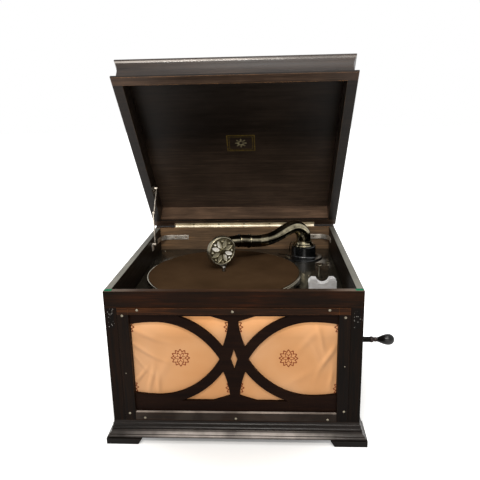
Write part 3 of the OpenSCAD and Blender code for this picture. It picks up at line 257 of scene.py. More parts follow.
# One geometry tree joins loose triangles at corners that all but touch, and shades smooth wherever two
# faces meet at under 35 degrees
smoothing = bpy.data.node_groups.new("smooth_by_angle", "GeometryNodeTree")
for way in ("INPUT", "OUTPUT"):
    smoothing.interface.new_socket("Geometry", in_out=way, socket_type="NodeSocketGeometry")
weld = 0.004 * mm
entry = add(smoothing, "NodeGroupInput")
joined = add(smoothing, "GeometryNodeMergeByDistance", {"Geometry": entry, "Distance": weld})
bend = add(smoothing, "GeometryNodeInputMeshEdgeAngle")
sharp = add(smoothing, "FunctionNodeCompare", bend, math.radians(35), operation="GREATER_THAN")
creased = add(smoothing, "GeometryNodeSetShadeSmooth",
              {"Geometry": joined, "Selection": sharp, "Shade Smooth": False}, domain="EDGE")
rounded = add(smoothing, "GeometryNodeSetShadeSmooth",
              {"Geometry": creased, "Shade Smooth": True}, domain="FACE")
add(smoothing, "NodeGroupOutput", rounded)


def dress(material, *names, ease=0.0, segments=2):
    """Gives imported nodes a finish, joins and smooths their triangles, and eases edges by ease mm."""
    for name in names:
        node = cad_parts[name]
        node.data.materials.clear()
        node.data.materials.append(material)
        if ease:
            join = node.modifiers.new("joined", "WELD")
            join.merge_threshold = weld
            eased = node.modifiers.new("eased_edges", "BEVEL")
            eased.width = ease * mm
            eased.segments = segments
            eased.limit_method = "ANGLE"
            eased.angle_limit = math.radians(40)
            eased.use_clamp_overlap = True
        node.modifiers.new("smooth", "NODES").node_group = smoothing
        even = node.modifiers.new("even_shading", "WEIGHTED_NORMAL")
        even.keep_sharp = True


stile_inner = 0.1955
stile_top = 0.2535


def stiles_and_marks(tree, spot, shade, gloss):
    """The rail's middle is redder and the stiles greyer. Dark joint lines run beside the stiles, and
    two lost corner fittings left dark patches with pale pin holes."""
    height = height_of(tree, spot)
    out_by = off_middle(tree, spot)
    stile = on_uprights(tree, spot, stile_inner, stile_top)
    shade = add(tree, "Mix", stile, shade, (0.55, 0.62, 0.7, 1), **tinted)
    middle = add(tree, "MapRange", out_by, 0.03, 0.2, 1, 0)
    shade = add(tree, "Mix", middle, shade, (2.1, 1.5, 1.1, 1), **tinted)
    past_joint = add(tree, "Math", out_by, stile_inner, operation="SUBTRACT")
    from_joint = add(tree, "Math", past_joint, operation="ABSOLUTE")
    line = add(tree, "MapRange", from_joint, 0.4 * mm, 1.0 * mm, 0.75, 0)
    below = add(tree, "Math", height, stile_top, operation="LESS_THAN")
    joint = add(tree, "Math", line, below, operation="MULTIPLY")
    shade = add(tree, "Mix", joint, shade, ink("#070403"), **painted)
    # The marks lie 200 to 211 mm out and 217 to 252 mm up
    across = add(tree, "Math", out_by, 205.5 * mm, 5.5 * mm, operation="COMPARE")
    upward = add(tree, "Math", height, 234.5 * mm, 17.5 * mm, operation="COMPARE")
    patch = add(tree, "Math", across, upward, operation="MULTIPLY")
    dark = add(tree, "Math", patch, 0.55, operation="MULTIPLY")
    shade = add(tree, "Mix", dark, shade, ink("#0a0807"), **painted)
    pin = add(tree, "MapRange", add(tree, "TexVoronoi", spot, spaced(3.846)), 0.15, 0.24, 0.8, 0)
    pins = add(tree, "Math", pin, patch, operation="MULTIPLY")
    return add(tree, "Mix", pins, shade, ink("#8f8b86"), **painted), gloss


def painted_light_inside_back(tree, spot, shade, gloss):
    """The inner face of the back board is painted a lighter, redder brown, standing in for the light on
    it.
    """
    depth = add(tree, "SeparateXYZ", spot).outputs["Y"]
    inner = add(tree, "Math", depth, 213.5 * mm, operation="LESS_THAN")
    # Painted light: the inner face's colour is multiplied about twentyfold
    return add(tree, "Mix", inner, shade, (24, 24, 20, 1), **tinted), gloss


# Near-black sides with a rim painted pale as sheen and dust, a warmer front, a back whose inner face
# is painted a light brown for the light on it, rubbed feet, and rough-sawn oak and pine, left raw
# and matt where nothing is seen
oak_sides = stained_oak("oak_stained_dark_sides", "Y", ledge_sheen_and_dust=("#8c8a80", 0.0))
oak_front = stained_oak("oak_stained_warm_front", tones=("#080503", "#130b06", "#26150b"), shine=0.44,
                        level=0.045, uprights=(stile_inner, stile_top), ledge_sheen_and_dust=("#7d6e62", 0.185),
                        extra=stiles_and_marks)
oak_back = stained_oak("oak_stained_back", extra=painted_light_inside_back)
oak_base = stained_oak("oak_stained_worn_base", tones=("#090706", "#100d0a", "#1a1512"), wear=0.2)
oak_rough = stained_oak("oak_sawn_unseen", tones=("#3a2a1c", "#4a3726", "#5d4732"), shine=0.7)
pine = stained_oak("pine_sawn_horn", "Y", tones=("#6e5236", "#8a6b48", "#a3835c"), shine=0.7, wear=0)
dress(oak_sides, "case_side_left", "case_side_right", ease=0.8)
dress(oak_back, "case_back", ease=0.3)
dress(oak_front, "case_front_frame", ease=0.8)
dress(oak_base, "feet", ease=0.9)
dress(oak_rough, "case_bottom")
dress(oak_rough, "board_battens", ease=0.5)
dress(pine, "horn")


def full_turn(count):
    """The angles of count columns that run once round and close on themselves."""
    return np.linspace(0, 2 * math.pi, count, endpoint=False)


# The plinth: an oak moulding planed in one length, mitred round the case and glued on. It stands out
# with a square edge over the feet, slopes up and back, and ends in two low steps under the boards.
def piece(name, parts, material, body, stands_for=(), wrap=(False, True), split=35):
    """One mesh from grids of points in mm, each grid[i, j] joined to its neighbours by quads.
    wrap says whether rows and columns close on themselves, and edges over split degrees stay sharp.
    The UVs run in metres along the grid, and each part's start 333 mm on, so that its grain differs."""
    places = []
    faces = []
    maps = []
    count = 0
    for part in parts:
        grid = np.asarray(part, float)
        rows, cols = grid.shape[:2]
        i, j = np.meshgrid(np.arange(rows - 1 + wrap[0]), np.arange(cols - 1 + wrap[1]), indexing="ij")
        after_i = (i + 1) % rows
        after_j = (j + 1) % cols
        quad = np.stack([i * cols + j, after_i * cols + j, after_i * cols + after_j,
                         i * cols + after_j], -1)
        along = np.linalg.norm(np.diff(grid, axis=0, append=grid[:1]), axis=2).mean(1)
        across = np.linalg.norm(np.diff(grid, axis=1, append=grid[:, :1]), axis=2).mean(0)
        u = np.concatenate([[0], np.cumsum(along)])
        v = np.concatenate([[0], np.cumsum(across)])
        corner_u = u[np.stack([i, i + 1, i + 1, i], -1)]
        corner_v = v[np.stack([j, j, j + 1, j + 1], -1)]
        maps.append(np.stack([corner_u, corner_v + 333 * len(maps)], -1).reshape(-1, 2) * mm)
        faces.append(quad.reshape(-1, 4) + count)
        places.append(grid.reshape(-1, 3))
        count += rows * cols
    mesh = bpy.data.meshes.new(name)
    mesh.from_pydata((np.concatenate(places) * mm).tolist(), [], np.concatenate(faces).tolist())
    mesh.uv_layers.new(name="cut").data.foreach_set("uv", np.concatenate(maps).ravel())
    form = bmesh.new()
    form.from_mesh(mesh)
    bmesh.ops.remove_doubles(form, verts=form.verts, dist=0.002 * mm)
    bmesh.ops.recalc_face_normals(form, faces=form.faces)
    for face in form.faces:
        face.smooth = True
    for edge in form.edges:
        if len(edge.link_faces) == 2 and edge.calc_face_angle(0) > math.radians(split):
            edge.smooth = False
    form.to_mesh(mesh)
    form.free()
    mesh.materials.append(material)
    made = stand_in_scene(name, mesh)
    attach(made, body)
    if stands_for:
        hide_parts(*stands_for)
    return made


def mitred_runs(half_w, half_d, section):
    """Four lengths of moulding round a box. A section point (out, z) lies out mm beyond the box, and
    each length ends where it meets the next one at 45 degrees. The section closes on itself."""
    out_by, height = np.array(section, float).T
    ends = np.array([[-1.0], [1.0]])
    runs = []
    for k, (reach, depth) in enumerate([(half_w, half_d), (half_d, half_w)] * 2):
        x = ends * (reach + out_by)
        y = -(depth + out_by) * np.ones_like(ends)
        turn = k * math.pi / 2
        runs.append(np.stack([x * math.cos(turn) - y * math.sin(turn),
                              x * math.sin(turn) + y * math.cos(turn), height + 0 * ends], -1))
    return runs


def pale_tops(under, low, high, colour, dust_and_sheen_film, fades=(0.5, 1.0)):
    """Makes a finish for faces under a height: those that look up are painted with the colour as a
    painted highlight with some dust, more so as the normal's z goes from low to high, and
    dust_and_sheen_film is its share on all of them. It fades between two distances from the middle.
    Lengths are in metres."""
    def pale_sheen_and_dust(tree, spot, shade, gloss):
        here = add(tree, "Math", height_of(tree, spot), under, operation="LESS_THAN")
        # Painted highlight: faces that look up take the pale colour
        upward = add(tree, "MapRange", facing_up(tree), low, high, dust_and_sheen_film, 0.9)
        share = add(tree, "MapRange", add(tree, "TexNoise", spot, spaced(40), 3), 0.38, 0.6, 0.4, 1)
        kept = add(tree, "MapRange", off_middle(tree, spot), *fades, 1, 0.12)
        for factor in (upward, share, kept):
            here = add(tree, "Math", here, factor, operation="MULTIPLY")
        return add(tree, "Mix", here, shade, ink(colour), **painted), gloss
    return pale_sheen_and_dust


half_w = 216
half_d = 224
plinth_section = [
    (-3, 11.2), (9.6, 11.2), (10.9, 12.0), (11.1, 13.2), (10.8, 13.9), (9.3, 15.5), (8.9, 15.8),
    (8.0, 15.9), (7.9, 16.6), (8.3, 17.0), (8.1, 17.7), (4.9, 21.2), (4.5, 22.0), (4.4, 24.4),
    (3.1, 24.8), (3.0, 27.0), (3.9, 27.3), (4.0, 28.1), (2.8, 29.4), (2.0, 29.7), (1.6, 30.2),
    (1.5, 34.0), (1.9, 34.3), (1.8, 35.0), (0.6, 36.3), (0.15, 36.6), (0.1, 40.4), (-3, 40.4)]
# The plinth's polish is the case's hardest, and its slopes carry a painted pale highlight, strongest in
# the middle
plinth_oak = stained_oak("oak_planed_plinth", tones=("#0c0907", "#15100d", "#211a15"), wear=0.2,
                         shine=0.22, level=0.12, by_uv=True,
                         extra=pale_tops(0.0245, 0.45, 0.68, "#b3a9a2", 0.16, (0.1, 0.2)))
piece("plinth_runs", mitred_runs(half_w, half_d, plinth_section), plinth_oak, "case",
      ["plinth_moulding"], split=25)


# The rim pads: two scraps of green baize, a woven wool with a soft nap, glued on the rim's front
# corners, where the closed lid comes down on them.
# Wool baize: a full matt green that goes paler where the nap stands up
baize, tree, spot = new_material("wool_baize_green")
nap = add(tree, "TexNoise", spot, spaced(1.4286), 3, 0.7)
shade = add(tree, "ValToRGB", nap, stops=[(0.35, "#145c41"), (0.6, "#23805c"), (0.8, "#3a9a74")])
add(tree, "OutputMaterial", add(tree, "BsdfPrincipled", {
    "Base Color": shade, "Roughness": 1.0, "Specular IOR Level": 0.1}))
spin = full_turn(48)
share = np.array([0, 0.5, 0.9, 0.97, 1.0, 0.9, 0])[:, None]
thick = np.array([0.24, 0.24, 0.24, 0.2, 0.03, 0.02, 0.02])[:, None]
pads = []
for middle in (-208.2, 208.2):
    pad_x = middle + share * 6.6 * np.sign(np.cos(spin)) * np.abs(np.cos(spin)) ** 0.4
    pad_y = -217.6 + share * 4.4 * np.sign(np.sin(spin)) * np.abs(np.sin(spin)) ** 0.4
    pads.append(np.stack([pad_x, pad_y, 283.0 + thick + 0 * spin], -1))
piece("rim_pads", pads, baize, "case")


# The front: four strips hold a fretted board over the cloth, with round-head screws, so that it
# can be taken out. The strips stand a little proud and their edges catch the light, and the bottom
# strip's top carries a painted highlight.
opening_inner = 0.1755
opening_top = 0.2415


def pale_shelf(tree, spot, shade, gloss):
    """The bottom strip's top carries a painted pale highlight and its front is faintly paler, the top
    strip is redder, and the two upright strips are darker."""
    between = add(tree, "Math", off_middle(tree, spot), opening_inner, operation="LESS_THAN")
    # Painted highlight along the bottom strip's top
    pale_sheen_and_dust = pale_tops(0.0735, 0.4, 0.8, "#b9aba0", 0.05)(tree, spot, shade, gloss)[0]
    shade = add(tree, "Mix", between, shade, pale_sheen_and_dust, **painted)
    upright = on_uprights(tree, spot, opening_inner, opening_top)
    shade = add(tree, "Mix", upright, shade, (0.55, 0.6, 0.66, 1), **tinted)
    high = add(tree, "Math", height_of(tree, spot), opening_top, operation="GREATER_THAN")
    return add(tree, "Mix", high, shade, (3.4, 2.8, 2.2, 1), **tinted), gloss


# The strips show a warm figure and many chipped edges, and the fret is sawn, dark and hardly shines
oak_strips = stained_oak("oak_stained_strips", tones=("#080503", "#120a06", "#24150b"), wear=0.8,
                         level=0.05, uprights=(opening_inner, opening_top), extra=pale_shelf)
oak_fret = stained_oak("oak_sawn_fret", tones=("#0e0604", "#150a06", "#1e110a"), wear=0.3, level=0.03)
dress(oak_strips, "grille_strips", ease=0.7)
dress(oak_fret, "grille_fret", ease=0.7)


def metal(name, colour, stain, rough=0.25, amount=0.5, patch=14.0, bare=1.0, extra=None):
    """Bare or plated metal: a base colour, tarnish in clouds patch mm wide, and a fine uneven polish.
    bare under 1 stands for metal that a film of dirt or lacquer dulls."""
    material, tree, spot = new_material(name)
    cloud = add(tree, "TexNoise", spot, spaced(patch), 5, 0.6)
    share = add(tree, "MapRange", cloud, 0.4, 0.72, 0, amount)
    shade = add(tree, "Mix", share, ink(colour), ink(stain), **painted)
    if extra:
        shade = extra(tree, spot, shade)
    fine = add(tree, "TexNoise", spot, spaced(1.4286), 3, 0.6)
    gloss = add(tree, "MapRange", fine, 0.3, 0.75, rough * 0.6, rough * 1.5)
    add(tree, "OutputMaterial", add(tree, "BsdfPrincipled", {
        "Base Color": shade, "Metallic": bare, "Roughness": gloss}))
    return material


def head_grid(centre, normal, radius, height, slot_turn, slot=0.0):
    """A round screw head: height falls from the middle to the rim as a circle's cap, less a slot across
    it, and the last row drops to the surface. Rows run out from the middle, columns run round."""
    normal = np.array(normal, float) / np.linalg.norm(normal)
    side = np.cross(normal, [0.31, 0.17, 0.93])
    side /= np.linalg.norm(side)
    other = np.cross(normal, side)
    t = np.array([0.0, 0.12, 0.25, 0.4, 0.55, 0.7, 0.84, 0.94, 1.0, 1.0])[:, None]
    turn = full_turn(32)
    rise = height * np.sqrt(np.clip(1 - 0.82 * t**2, 0, 1)) + 0 * turn
    in_slot = np.abs(t * radius * np.sin(turn - slot_turn)) < slot / 2
    rise = np.where(in_slot, np.minimum(rise, height * 0.45), rise)
    rise[-1] = 0
    x = t * radius * np.cos(turn)
    y = t * radius * np.sin(turn)
    return np.array(centre) + x[..., None] * side + y[..., None] * other + rise[..., None] * normal


# Brass screws, gone dull and pale on top, so they read as grey-gold dots
screw_brass = metal("brass_screw_dulled", "#8f8878", "#4c4335", 0.4, 0.6, 3)
front_y = -225.2
screw_at = [(-160, 250), (0, 247), (160, 250), (-159.5, 46), (1, 46), (160.5, 46), (-186, 240),
            (-186, 55), (186, 237), (188, 62)]
turns = np.random.default_rng(3).uniform(0, 3.14, len(screw_at))
screws = []
for (x, z), turn in zip(screw_at, turns):
    screws.append(head_grid((x, front_y, z), (0, -1, 0), 2.1, 1.1, turn, 0.6))
pins = [head_grid((x, front_y, z), (0, -1, 0), 0.9, 0.5, 0) for x, z in ((-187, 133), (187, 148))]
piece("front_screws", screws, screw_brass, "case", ["grille_screws"])
piece("front_pins", pins, screw_brass, "case")


def past_ring(tree, x, z, waves, radius, wave):
    """How far a point lies outside a ring whose radius waves round the middle. Ring sizes are in mm."""
    reach = add(tree, "VectorMath", add(tree, "CombineXYZ", x, z), operation="LENGTH")
    angle = add(tree, "Math", z, x, operation="ARCTAN2")
    spun = add(tree, "Math", angle, waves, operation="MULTIPLY")
    crest = add(tree, "Math", spun, operation="COSINE")
    rim = add(tree, "Math", crest, wave * mm, radius * mm, operation="MULTIPLY_ADD")
    return add(tree, "Math", reach, rim, operation="SUBTRACT")


# The grille cloth: a thin orange-tan cotton tacked behind the fret, a little slack, with a few creases
# near its ends and a small printed rosette in staggered rows.
cloth_w = 385.0
cloth_h = 207.5
cloth_low = 44.0
across = np.linspace(-cloth_w / 2, cloth_w / 2, 300)
upward = np.linspace(cloth_low, cloth_low + cloth_h, 180)
cx, cz = np.meshgrid(across, upward)
to_edge = np.minimum(cloth_w / 2 - np.abs(cx), np.minimum(cz - cloth_low, cloth_low + cloth_h - cz))
edge = np.clip(to_edge / 25, 0, 1)
# Each crease is a ridge: x, z of a point on it, its direction in degrees, width, length and height
creases = [
    (-158, 172, -28, 4.0, 34, 2.2), (-146, 116, 84, 4.6, 30, 2.4), (-165, 150, -48, 3.6, 26, 1.8),
    (-134, 106, 98, 4.2, 22, 2.0), (-152, 200, -18, 4.6, 30, 1.6), (-120, 140, 70, 7, 34, 0.9),
    (-166, 120, 60, 4, 22, 1.6), (148, 192, 112, 4.2, 28, 2.0), (160, 160, 66, 4.8, 32, 2.2),
    (140, 168, 128, 4.4, 24, 1.7), (126, 190, 58, 6, 30, 1.0), (166, 118, 92, 4.2, 22, 1.5),
    (70, 205, 20, 6, 20, 0.5), (112, 120, 40, 7, 30, 0.7)]
slack = 0.3 + 0.7 * np.sin(cx / 31 + 0.4) * np.sin(cz / 37 + 1.1)
for px, pz, angle, wide, long, high in creases:
    ca = math.cos(math.radians(angle))
    sa = math.sin(math.radians(angle))
    lengthwise = (cx - px) * ca + (cz - pz) * sa
    sideways = -(cx - px) * sa + (cz - pz) * ca + 3 * np.sin(lengthwise / 17)
    slack = slack + high * np.exp(-((sideways / wide) ** 2) - (lengthwise / long) ** 2)
slack = np.clip(slack, -0.1, 3.4) * edge
# The cloth may lean out into the openings, but stays between the fret's face and the horn
cloth_grid = np.stack([cx, -212.95 - slack, cz], -1)
# Painted shade: each fold is darker on the side that looks down and to the right
slope = np.gradient(slack, across, axis=1) - np.gradient(slack, upward, axis=0)
fold = np.clip(0.7 * slope, -0.8, 0.8)
# Printed cotton: faded in broad clouds, painted lighter at the top under the rail and shaded on its
# folds, with a matt thread and a brown print
cotton, tree, spot = new_material("cotton_printed_tan")
axes = add(tree, "SeparateXYZ", spot).outputs
fade_and_reflection = add(tree, "TexNoise", spot, spaced(111.1), 3)
ground = add(tree, "ValToRGB", fade_and_reflection, stops=[(0.3, "#c98e5a"), (0.5, "#d29b6a"), (0.7, "#d9a67a")])
folded = add(tree, "Attribute", attribute_name="fold").outputs["Fac"]
# Painted shade on the folds, down to 0.76 of the colour
shade_on_folds = add(tree, "MapRange", folded, -0.35, 0.35, 0.76, 1.1)
# Painted light: the cloth grows up to 1.7 times lighter towards the top, under the rail
painted_light_at_top = add(tree, "MapRange", axes["Z"], 0.195, 0.24, 1, 1.7)
painted_light_and_shade = add(tree, "Math", shade_on_folds, painted_light_at_top, operation="MULTIPLY")
shade = add(tree, "VectorMath", ground, painted_light_and_shade, operation="SCALE")
# Threads drawn 1.2 mm apart, twice the real spacing
weave = 1.0
for axis in "ZX":
    along = add(tree, "Math", axes[axis], 2 * math.pi / (1.2 * mm), operation="MULTIPLY")
    thread = add(tree, "Math", along, operation="SINE")
    weave = add(tree, "Math", thread, weave, operation="MULTIPLY")
# Rosettes 186 mm apart along rows 57.5 mm apart, every other row shifted by half
half_x = 93 * mm
half_z = 57.5 * mm
for k in (0, 1):
    from_x = add(tree, "Math", axes["X"], half_x * (k + 1), operation="ADD")
    from_z = add(tree, "Math", axes["Z"], half_z * k - 157 * mm, operation="ADD")
    in_x = add(tree, "Math", from_x, half_x, -half_x, operation="WRAP")
    in_z = add(tree, "Math", from_z, half_z, -half_z, operation="WRAP")
    print_here = 0.0
    # Three rings, each waved round the middle: petals, radius, wave and line width in mm
    for petals, ring_r, wave, line in ((12, 13.6, 1.8, 1.1), (6, 7.2, 2.6, 1.0), (3, 1.2, 0.2, 1.2)):
        gap = past_ring(tree, in_x, in_z, petals, ring_r, wave)
        off = add(tree, "Math", gap, operation="ABSOLUTE")
        drawn = add(tree, "MapRange", off, line * mm, line * 1.4 * mm, 1, 0)
        print_here = add(tree, "Math", drawn, print_here, operation="MAXIMUM")
    shade = add(tree, "Mix", print_here, shade, ink("#7a3516"), **painted)
relief = add(tree, "Bump", {"Strength": 0.25, "Distance": 0.1 * mm, "Height": weave})
add(tree, "OutputMaterial", add(tree, "BsdfPrincipled", {
    "Base Color": shade, "Roughness": 0.9, "Normal": relief, "Specular IOR Level": 0.15,
    "Sheen Weight": 0.2}))
grille = piece("grille_sheet", [cloth_grid], cotton, "case", ["grille_cloth"], (False, False))
grille.data.attributes.new("fold", "FLOAT", "POINT").data.foreach_set("value", fold.ravel())
thick = grille.modifiers.new("thickness", "SOLIDIFY")
thick.thickness = 0.35 * mm
thick.offset = 0


# The motor board: a metal-faced board in black stoved enamel, with a hard gloss that mirrors what
# stands on it. Fine scratches show only in the gloss.
def enamelled(name, deep, pale, rough):
    """Black enamel: two near-black tones in broad clouds, and a hard gloss with fine scratches."""
    material, tree, spot = new_material(name)
    cloud = add(tree, "TexNoise", spot, spaced(45.45), 6, 0.65)
    shade = add(tree, "ValToRGB", cloud, stops=[(0.35, deep), (0.7, pale)])
    scratches = add(tree, "TexNoise", spot, spaced(3.846), 4, 0.7)
    gloss = add(tree, "MapRange", scratches, 0.35, 0.7, rough, rough + 0.12)
    add(tree, "OutputMaterial", add(tree, "BsdfPrincipled", {
        "Base Color": shade, "Roughness": gloss, "Specular IOR Level": 0.8}))
    return material


# The stoved enamel is a warm black, and japanned iron a colder, softer one
enamel = enamelled("enamel_stoved_black", "#211f1a", "#2e2b24", 0.08)
japan = enamelled("cast_iron_japanned", "#08090a", "#131314", 0.16)
dress(enamel, "motor_board", ease=0.5)
dress(japan, "motor_top_plate", ease=0.4)
dress(japan, "tonearm_base", "motor_bottom_plate", "governor_bearings")


# Deck fittings in nickelled brass and steel: the folded tin pocket, the corner clips, the speed knob,
# the brake and the screws.
# Turned nickel is warm and bright, the pocket a satin white, the clips cream with brown stains, ground
# steel a plain grey, and cut brass a dull yellow
nickel = metal("nickel_plate_worn", "#a39b88", "#5f5543", 0.2, 0.5, 12)
nickel_pale = metal("nickel_plate_satin", "#ffffff", "#d9d7d6", 0.5, 0.4, 9, 0.8)
nickel_clip = metal("nickel_plate_clips", "#efe6d9", "#6b5e4c", 0.4, 0.7, 12)
steel = metal("steel_ground", "#9c9a96", "#5f5a52", 0.3, 0.4, 8)
brass = metal("brass_cut", "#a98445", "#5f4726", 0.3, 0.5, 10)
dress(nickel_pale, "needle_pocket", ease=0.35)
dress(nickel_clip, "tin_clips", ease=0.55, segments=3)
dress(nickel, "brake_lever", ease=0.3)
dress(nickel, "regulator_knob", "deck_screws", "crank_escutcheon")
dress(steel, "winding_arbor", "winding_shaft", "governor_worm", "governor_disc", "regulator_lever",
      "mainspring")
dress(brass, "governor_drive_wheel", "spring_barrel", "winding_wheel", "intermediate_gear",
      "governor_weights")


# The turntable: a pressed steel platter with a nickelled rim, covered with brown wool felt that is
# glued down.
table_x = -29.8
table_y = -30.1
dress(nickel, "turntable_platter")
dress(steel, "turntable_spindle")
# Wool felt: dead matt, with a short fuzz drawn about 1 mm wide and faint clouds of wear
felted, tree, spot = new_material("wool_felt_brown")
fuzz = add(tree, "TexNoise", spot, spaced(1.111), 3, 0.8)
cloud = add(tree, "TexNoise", spot, spaced(71.4), 4)
tone = add(tree, "Math", fuzz, 0.45, cloud, operation="MULTIPLY_ADD")
shade = add(tree, "ValToRGB", tone, stops=[(0.5, "#3b2b1b"), (0.72, "#433120"), (0.95, "#4b3826")])
relief = add(tree, "Bump", {"Strength": 0.5, "Distance": 0.3 * mm, "Height": fuzz})
add(tree, "OutputMaterial", add(tree, "BsdfPrincipled", {
    "Base Color": shade, "Roughness": 1.0, "Specular IOR Level": 0.03, "Normal": relief}))
felt_r = 149.3
ring = np.concatenate([
    [3.95], np.linspace(12, 144, 12), [147.2, 148.7, 149.2, felt_r, 149.2, 148.7, 146],
    np.linspace(130, 12, 8), [3.95]])
lift_at = np.concatenate([np.full(13, 253.0), [252.95, 252.6, 252.2, 251.7, 251.3, 251.1],
                          np.full(10, 251.05)])
spin = full_turn(160)
felt_grid = np.stack([table_x + ring[:, None] * np.cos(spin), table_y + ring[:, None] * np.sin(spin),
                      lift_at[:, None] + 0 * spin], -1)
felt = piece("felt_disc", [felt_grid], felted, "turntable", ["turntable_felt"], (True, True))


# The lid: four oak rails planed to a cove outside, mitred, with an overhanging band at the rim and a
# panel let in. It is drawn closed and swung open about the hinge pin.
hinge_y = 226.5
hinge_z = 283.15
lid_turn = math.radians(49.85)
lid_cos = math.cos(lid_turn)
lid_sin = math.sin(lid_turn)


def swung_open(grid):
    """Turns points of the closed lid about the hinge pin: back and up by the opening angle."""
    back = grid[..., 1] - hinge_y
    rise = grid[..., 2] - hinge_z
    return np.stack([grid[..., 0], hinge_y + back * lid_cos + rise * lid_sin,
                     hinge_z - back * lid_sin + rise * lid_cos], -1)


def closed_place(tree, spot):
    """Where a lid point lies with the lid closed: turned back about X, and shifted so that the hinge
    pin keeps its place."""
    pin_shift = (0, (hinge_y - hinge_y * lid_cos + hinge_z * lid_sin) * mm,
                 (hinge_z - hinge_y * lid_sin - hinge_z * lid_cos) * mm)
    back = add(tree, "Mapping", {"Vector": spot, "Location": pin_shift, "Rotation": (lid_turn, 0, 0)})
    return add(tree, "SeparateXYZ", back).outputs


def painted_light_on_lid_rails(tree, spot, shade, gloss):
    """The front rail is painted lighter as a stand-in for its sheen, its lip carries a pale painted
    highlight and is glossy, least on its right half, and the rear rail's inner face is painted lighter
    for the light on it."""
    at = closed_place(tree, spot)
    ahead = add(tree, "Math", at["Y"], -0.2, operation="LESS_THAN")
    # Painted sheen: the front rail is painted lighter
    shade = add(tree, "Mix", ahead, shade, (1.8, 1.6, 1.4, 1), **tinted)
    # Painted highlight: a pale glossy strip along the front rail's lip, fading to the right
    lip = add(tree, "Math", at["Z"], 327.85 * mm, 1.5 * mm, operation="COMPARE")
    along = add(tree, "MapRange", at["X"], 0, 0.12, 1, 0.2)
    share = add(tree, "MapRange", add(tree, "TexNoise", spot, spaced(55.56), 3), 0.35, 0.55, 0.65, 1)
    for factor in (ahead, along, share):
        lip = add(tree, "Math", lip, factor, operation="MULTIPLY")
    wear_and_highlight = add(tree, "Math", lip, 0.75, operation="MULTIPLY")
    shade = add(tree, "Mix", wear_and_highlight, shade, ink("#c9c1ba"), **painted)
    gloss = add(tree, "Mix", lip, gloss, 0.05, data_type="FLOAT")
    # Painted light: the rear rail's inner face is made about eight times lighter
    inner = add(tree, "Math", at["Y"], 204.8 * mm, 1.2 * mm, operation="COMPARE")
    return add(tree, "Mix", inner, shade, (8, 7.6, 7, 1), **tinted), gloss


def painted_light_under_band(tree, spot, shade, gloss):
    """The band's underside is painted lighter, for the light on it, on its rear length beside the hinge
    and on its front length.
    """
    at = closed_place(tree, spot)
    rear = add(tree, "Math", at["Y"], 214.5 * mm, 9.2 * mm, operation="COMPARE")
    front = add(tree, "Math", at["Y"], -0.205, operation="LESS_THAN")
    either = add(tree, "Math", rear, front, operation="MAXIMUM")
    below = add(tree, "Math", at["Z"], 283.85 * mm, operation="LESS_THAN")
    here = add(tree, "Math", either, below, operation="MULTIPLY")
    # Painted light: the band's underside is made about four times lighter there
    return add(tree, "Mix", here, shade, (4.4, 3.8, 3.3, 1), **tinted), gloss


def gilt_frame(tree, spot, shade, gloss):
    """The panel is painted lighter towards the hinge as a painted reflection, and a gilt transfer on it
    shows a small rosette in a lined frame: eight petals at a radius that waves with the angle."""
    at = closed_place(tree, spot)
    under = add(tree, "Math", at["Z"], 326.25 * mm, operation="LESS_THAN")
    # Painted reflection: darker at the front, up to 5.5 times lighter towards the hinge
    painted_reflection = add(tree, "MapRange", at["Y"], -0.05, 0.2, 0.6, 5.5)
    fade_and_reflection = add(tree, "Mix", under, 1.0, painted_reflection, data_type="FLOAT")
    shade = add(tree, "VectorMath", shade, fade_and_reflection, operation="SCALE")
    aside = add(tree, "Math", at["X"], -2.5 * mm, operation="ADD")
    above = add(tree, "Math", at["Y"], 13 * mm, operation="ADD")
    # Two gilt lines, 2.6 and 1.2 mm wide, on a frame of 55 by 42 mm
    past = []
    for offset, half in ((aside, 27.5), (above, 21)):
        from_middle = add(tree, "Math", offset, operation="ABSOLUTE")
        past.append(add(tree, "Math", from_middle, -half * mm, operation="ADD"))
    frame_at = add(tree, "Math", *past, operation="MAXIMUM")
    wide = add(tree, "Math", frame_at, 1.3 * mm, 1.3 * mm, operation="COMPARE")
    fine = add(tree, "Math", frame_at, -3.0 * mm, 0.6 * mm, operation="COMPARE")
    lines = add(tree, "Math", wide, fine, operation="MAXIMUM")
    inside = add(tree, "Math", past_ring(tree, aside, above, 8, 9.5, 3.2), 0, operation="LESS_THAN")
    eye = add(tree, "Math", past_ring(tree, aside, above, 0, 3.5, 0), 0, operation="GREATER_THAN")
    flower = add(tree, "Math", inside, eye, operation="MULTIPLY")
    kept = add(tree, "MapRange", add(tree, "TexNoise", spot, spaced(6.25), 3), 0.35, 0.65, 0.25, 0.9)
    kept = add(tree, "Math", kept, under, operation="MULTIPLY")
    for drawn, colour in ((lines, "#5d4d1f"), (flower, "#857c60")):
        here = add(tree, "Math", drawn, kept, operation="MULTIPLY")
        shade = add(tree, "Mix", here, shade, ink(colour), **painted)
    return shade, gloss


def arc(centre, radius, start, stop, count):
    """Points on a circle in the section plane, from one angle to another in degrees."""
    angle = np.radians(np.linspace(start, stop, count))
    return np.stack([centre[0] + radius * np.cos(angle), centre[1] + radius * np.sin(angle)], -1)


# The rails are polished and grey in their cove, with painted sheen and a painted lip highlight, the
# band is rubbed brown at its edges, and the panel is painted lighter towards the hinge as a reflection
rail_oak = stained_oak("oak_planed_lid_rails", tones=("#110c09", "#1d1611", "#2d231c"), wear=0.4,
                       shine=0.3, level=0.32, by_uv=True, extra=painted_light_on_lid_rails)
band_oak = stained_oak("oak_stained_lid_band", "X", lid_turn, tones=("#110d0a", "#1c1612", "#2a221c"),
                       wear_and_highlight="#8a6847", shine=0.34, level=0.15, wear=0.65, extra=painted_light_under_band)
panel_oak = stained_oak("oak_veneer_lid_panel", "X", lid_turn, tones=("#130e0a", "#1d1611", "#2a211a"),
                        level=0.15, wear=0.3, extra=gilt_frame)
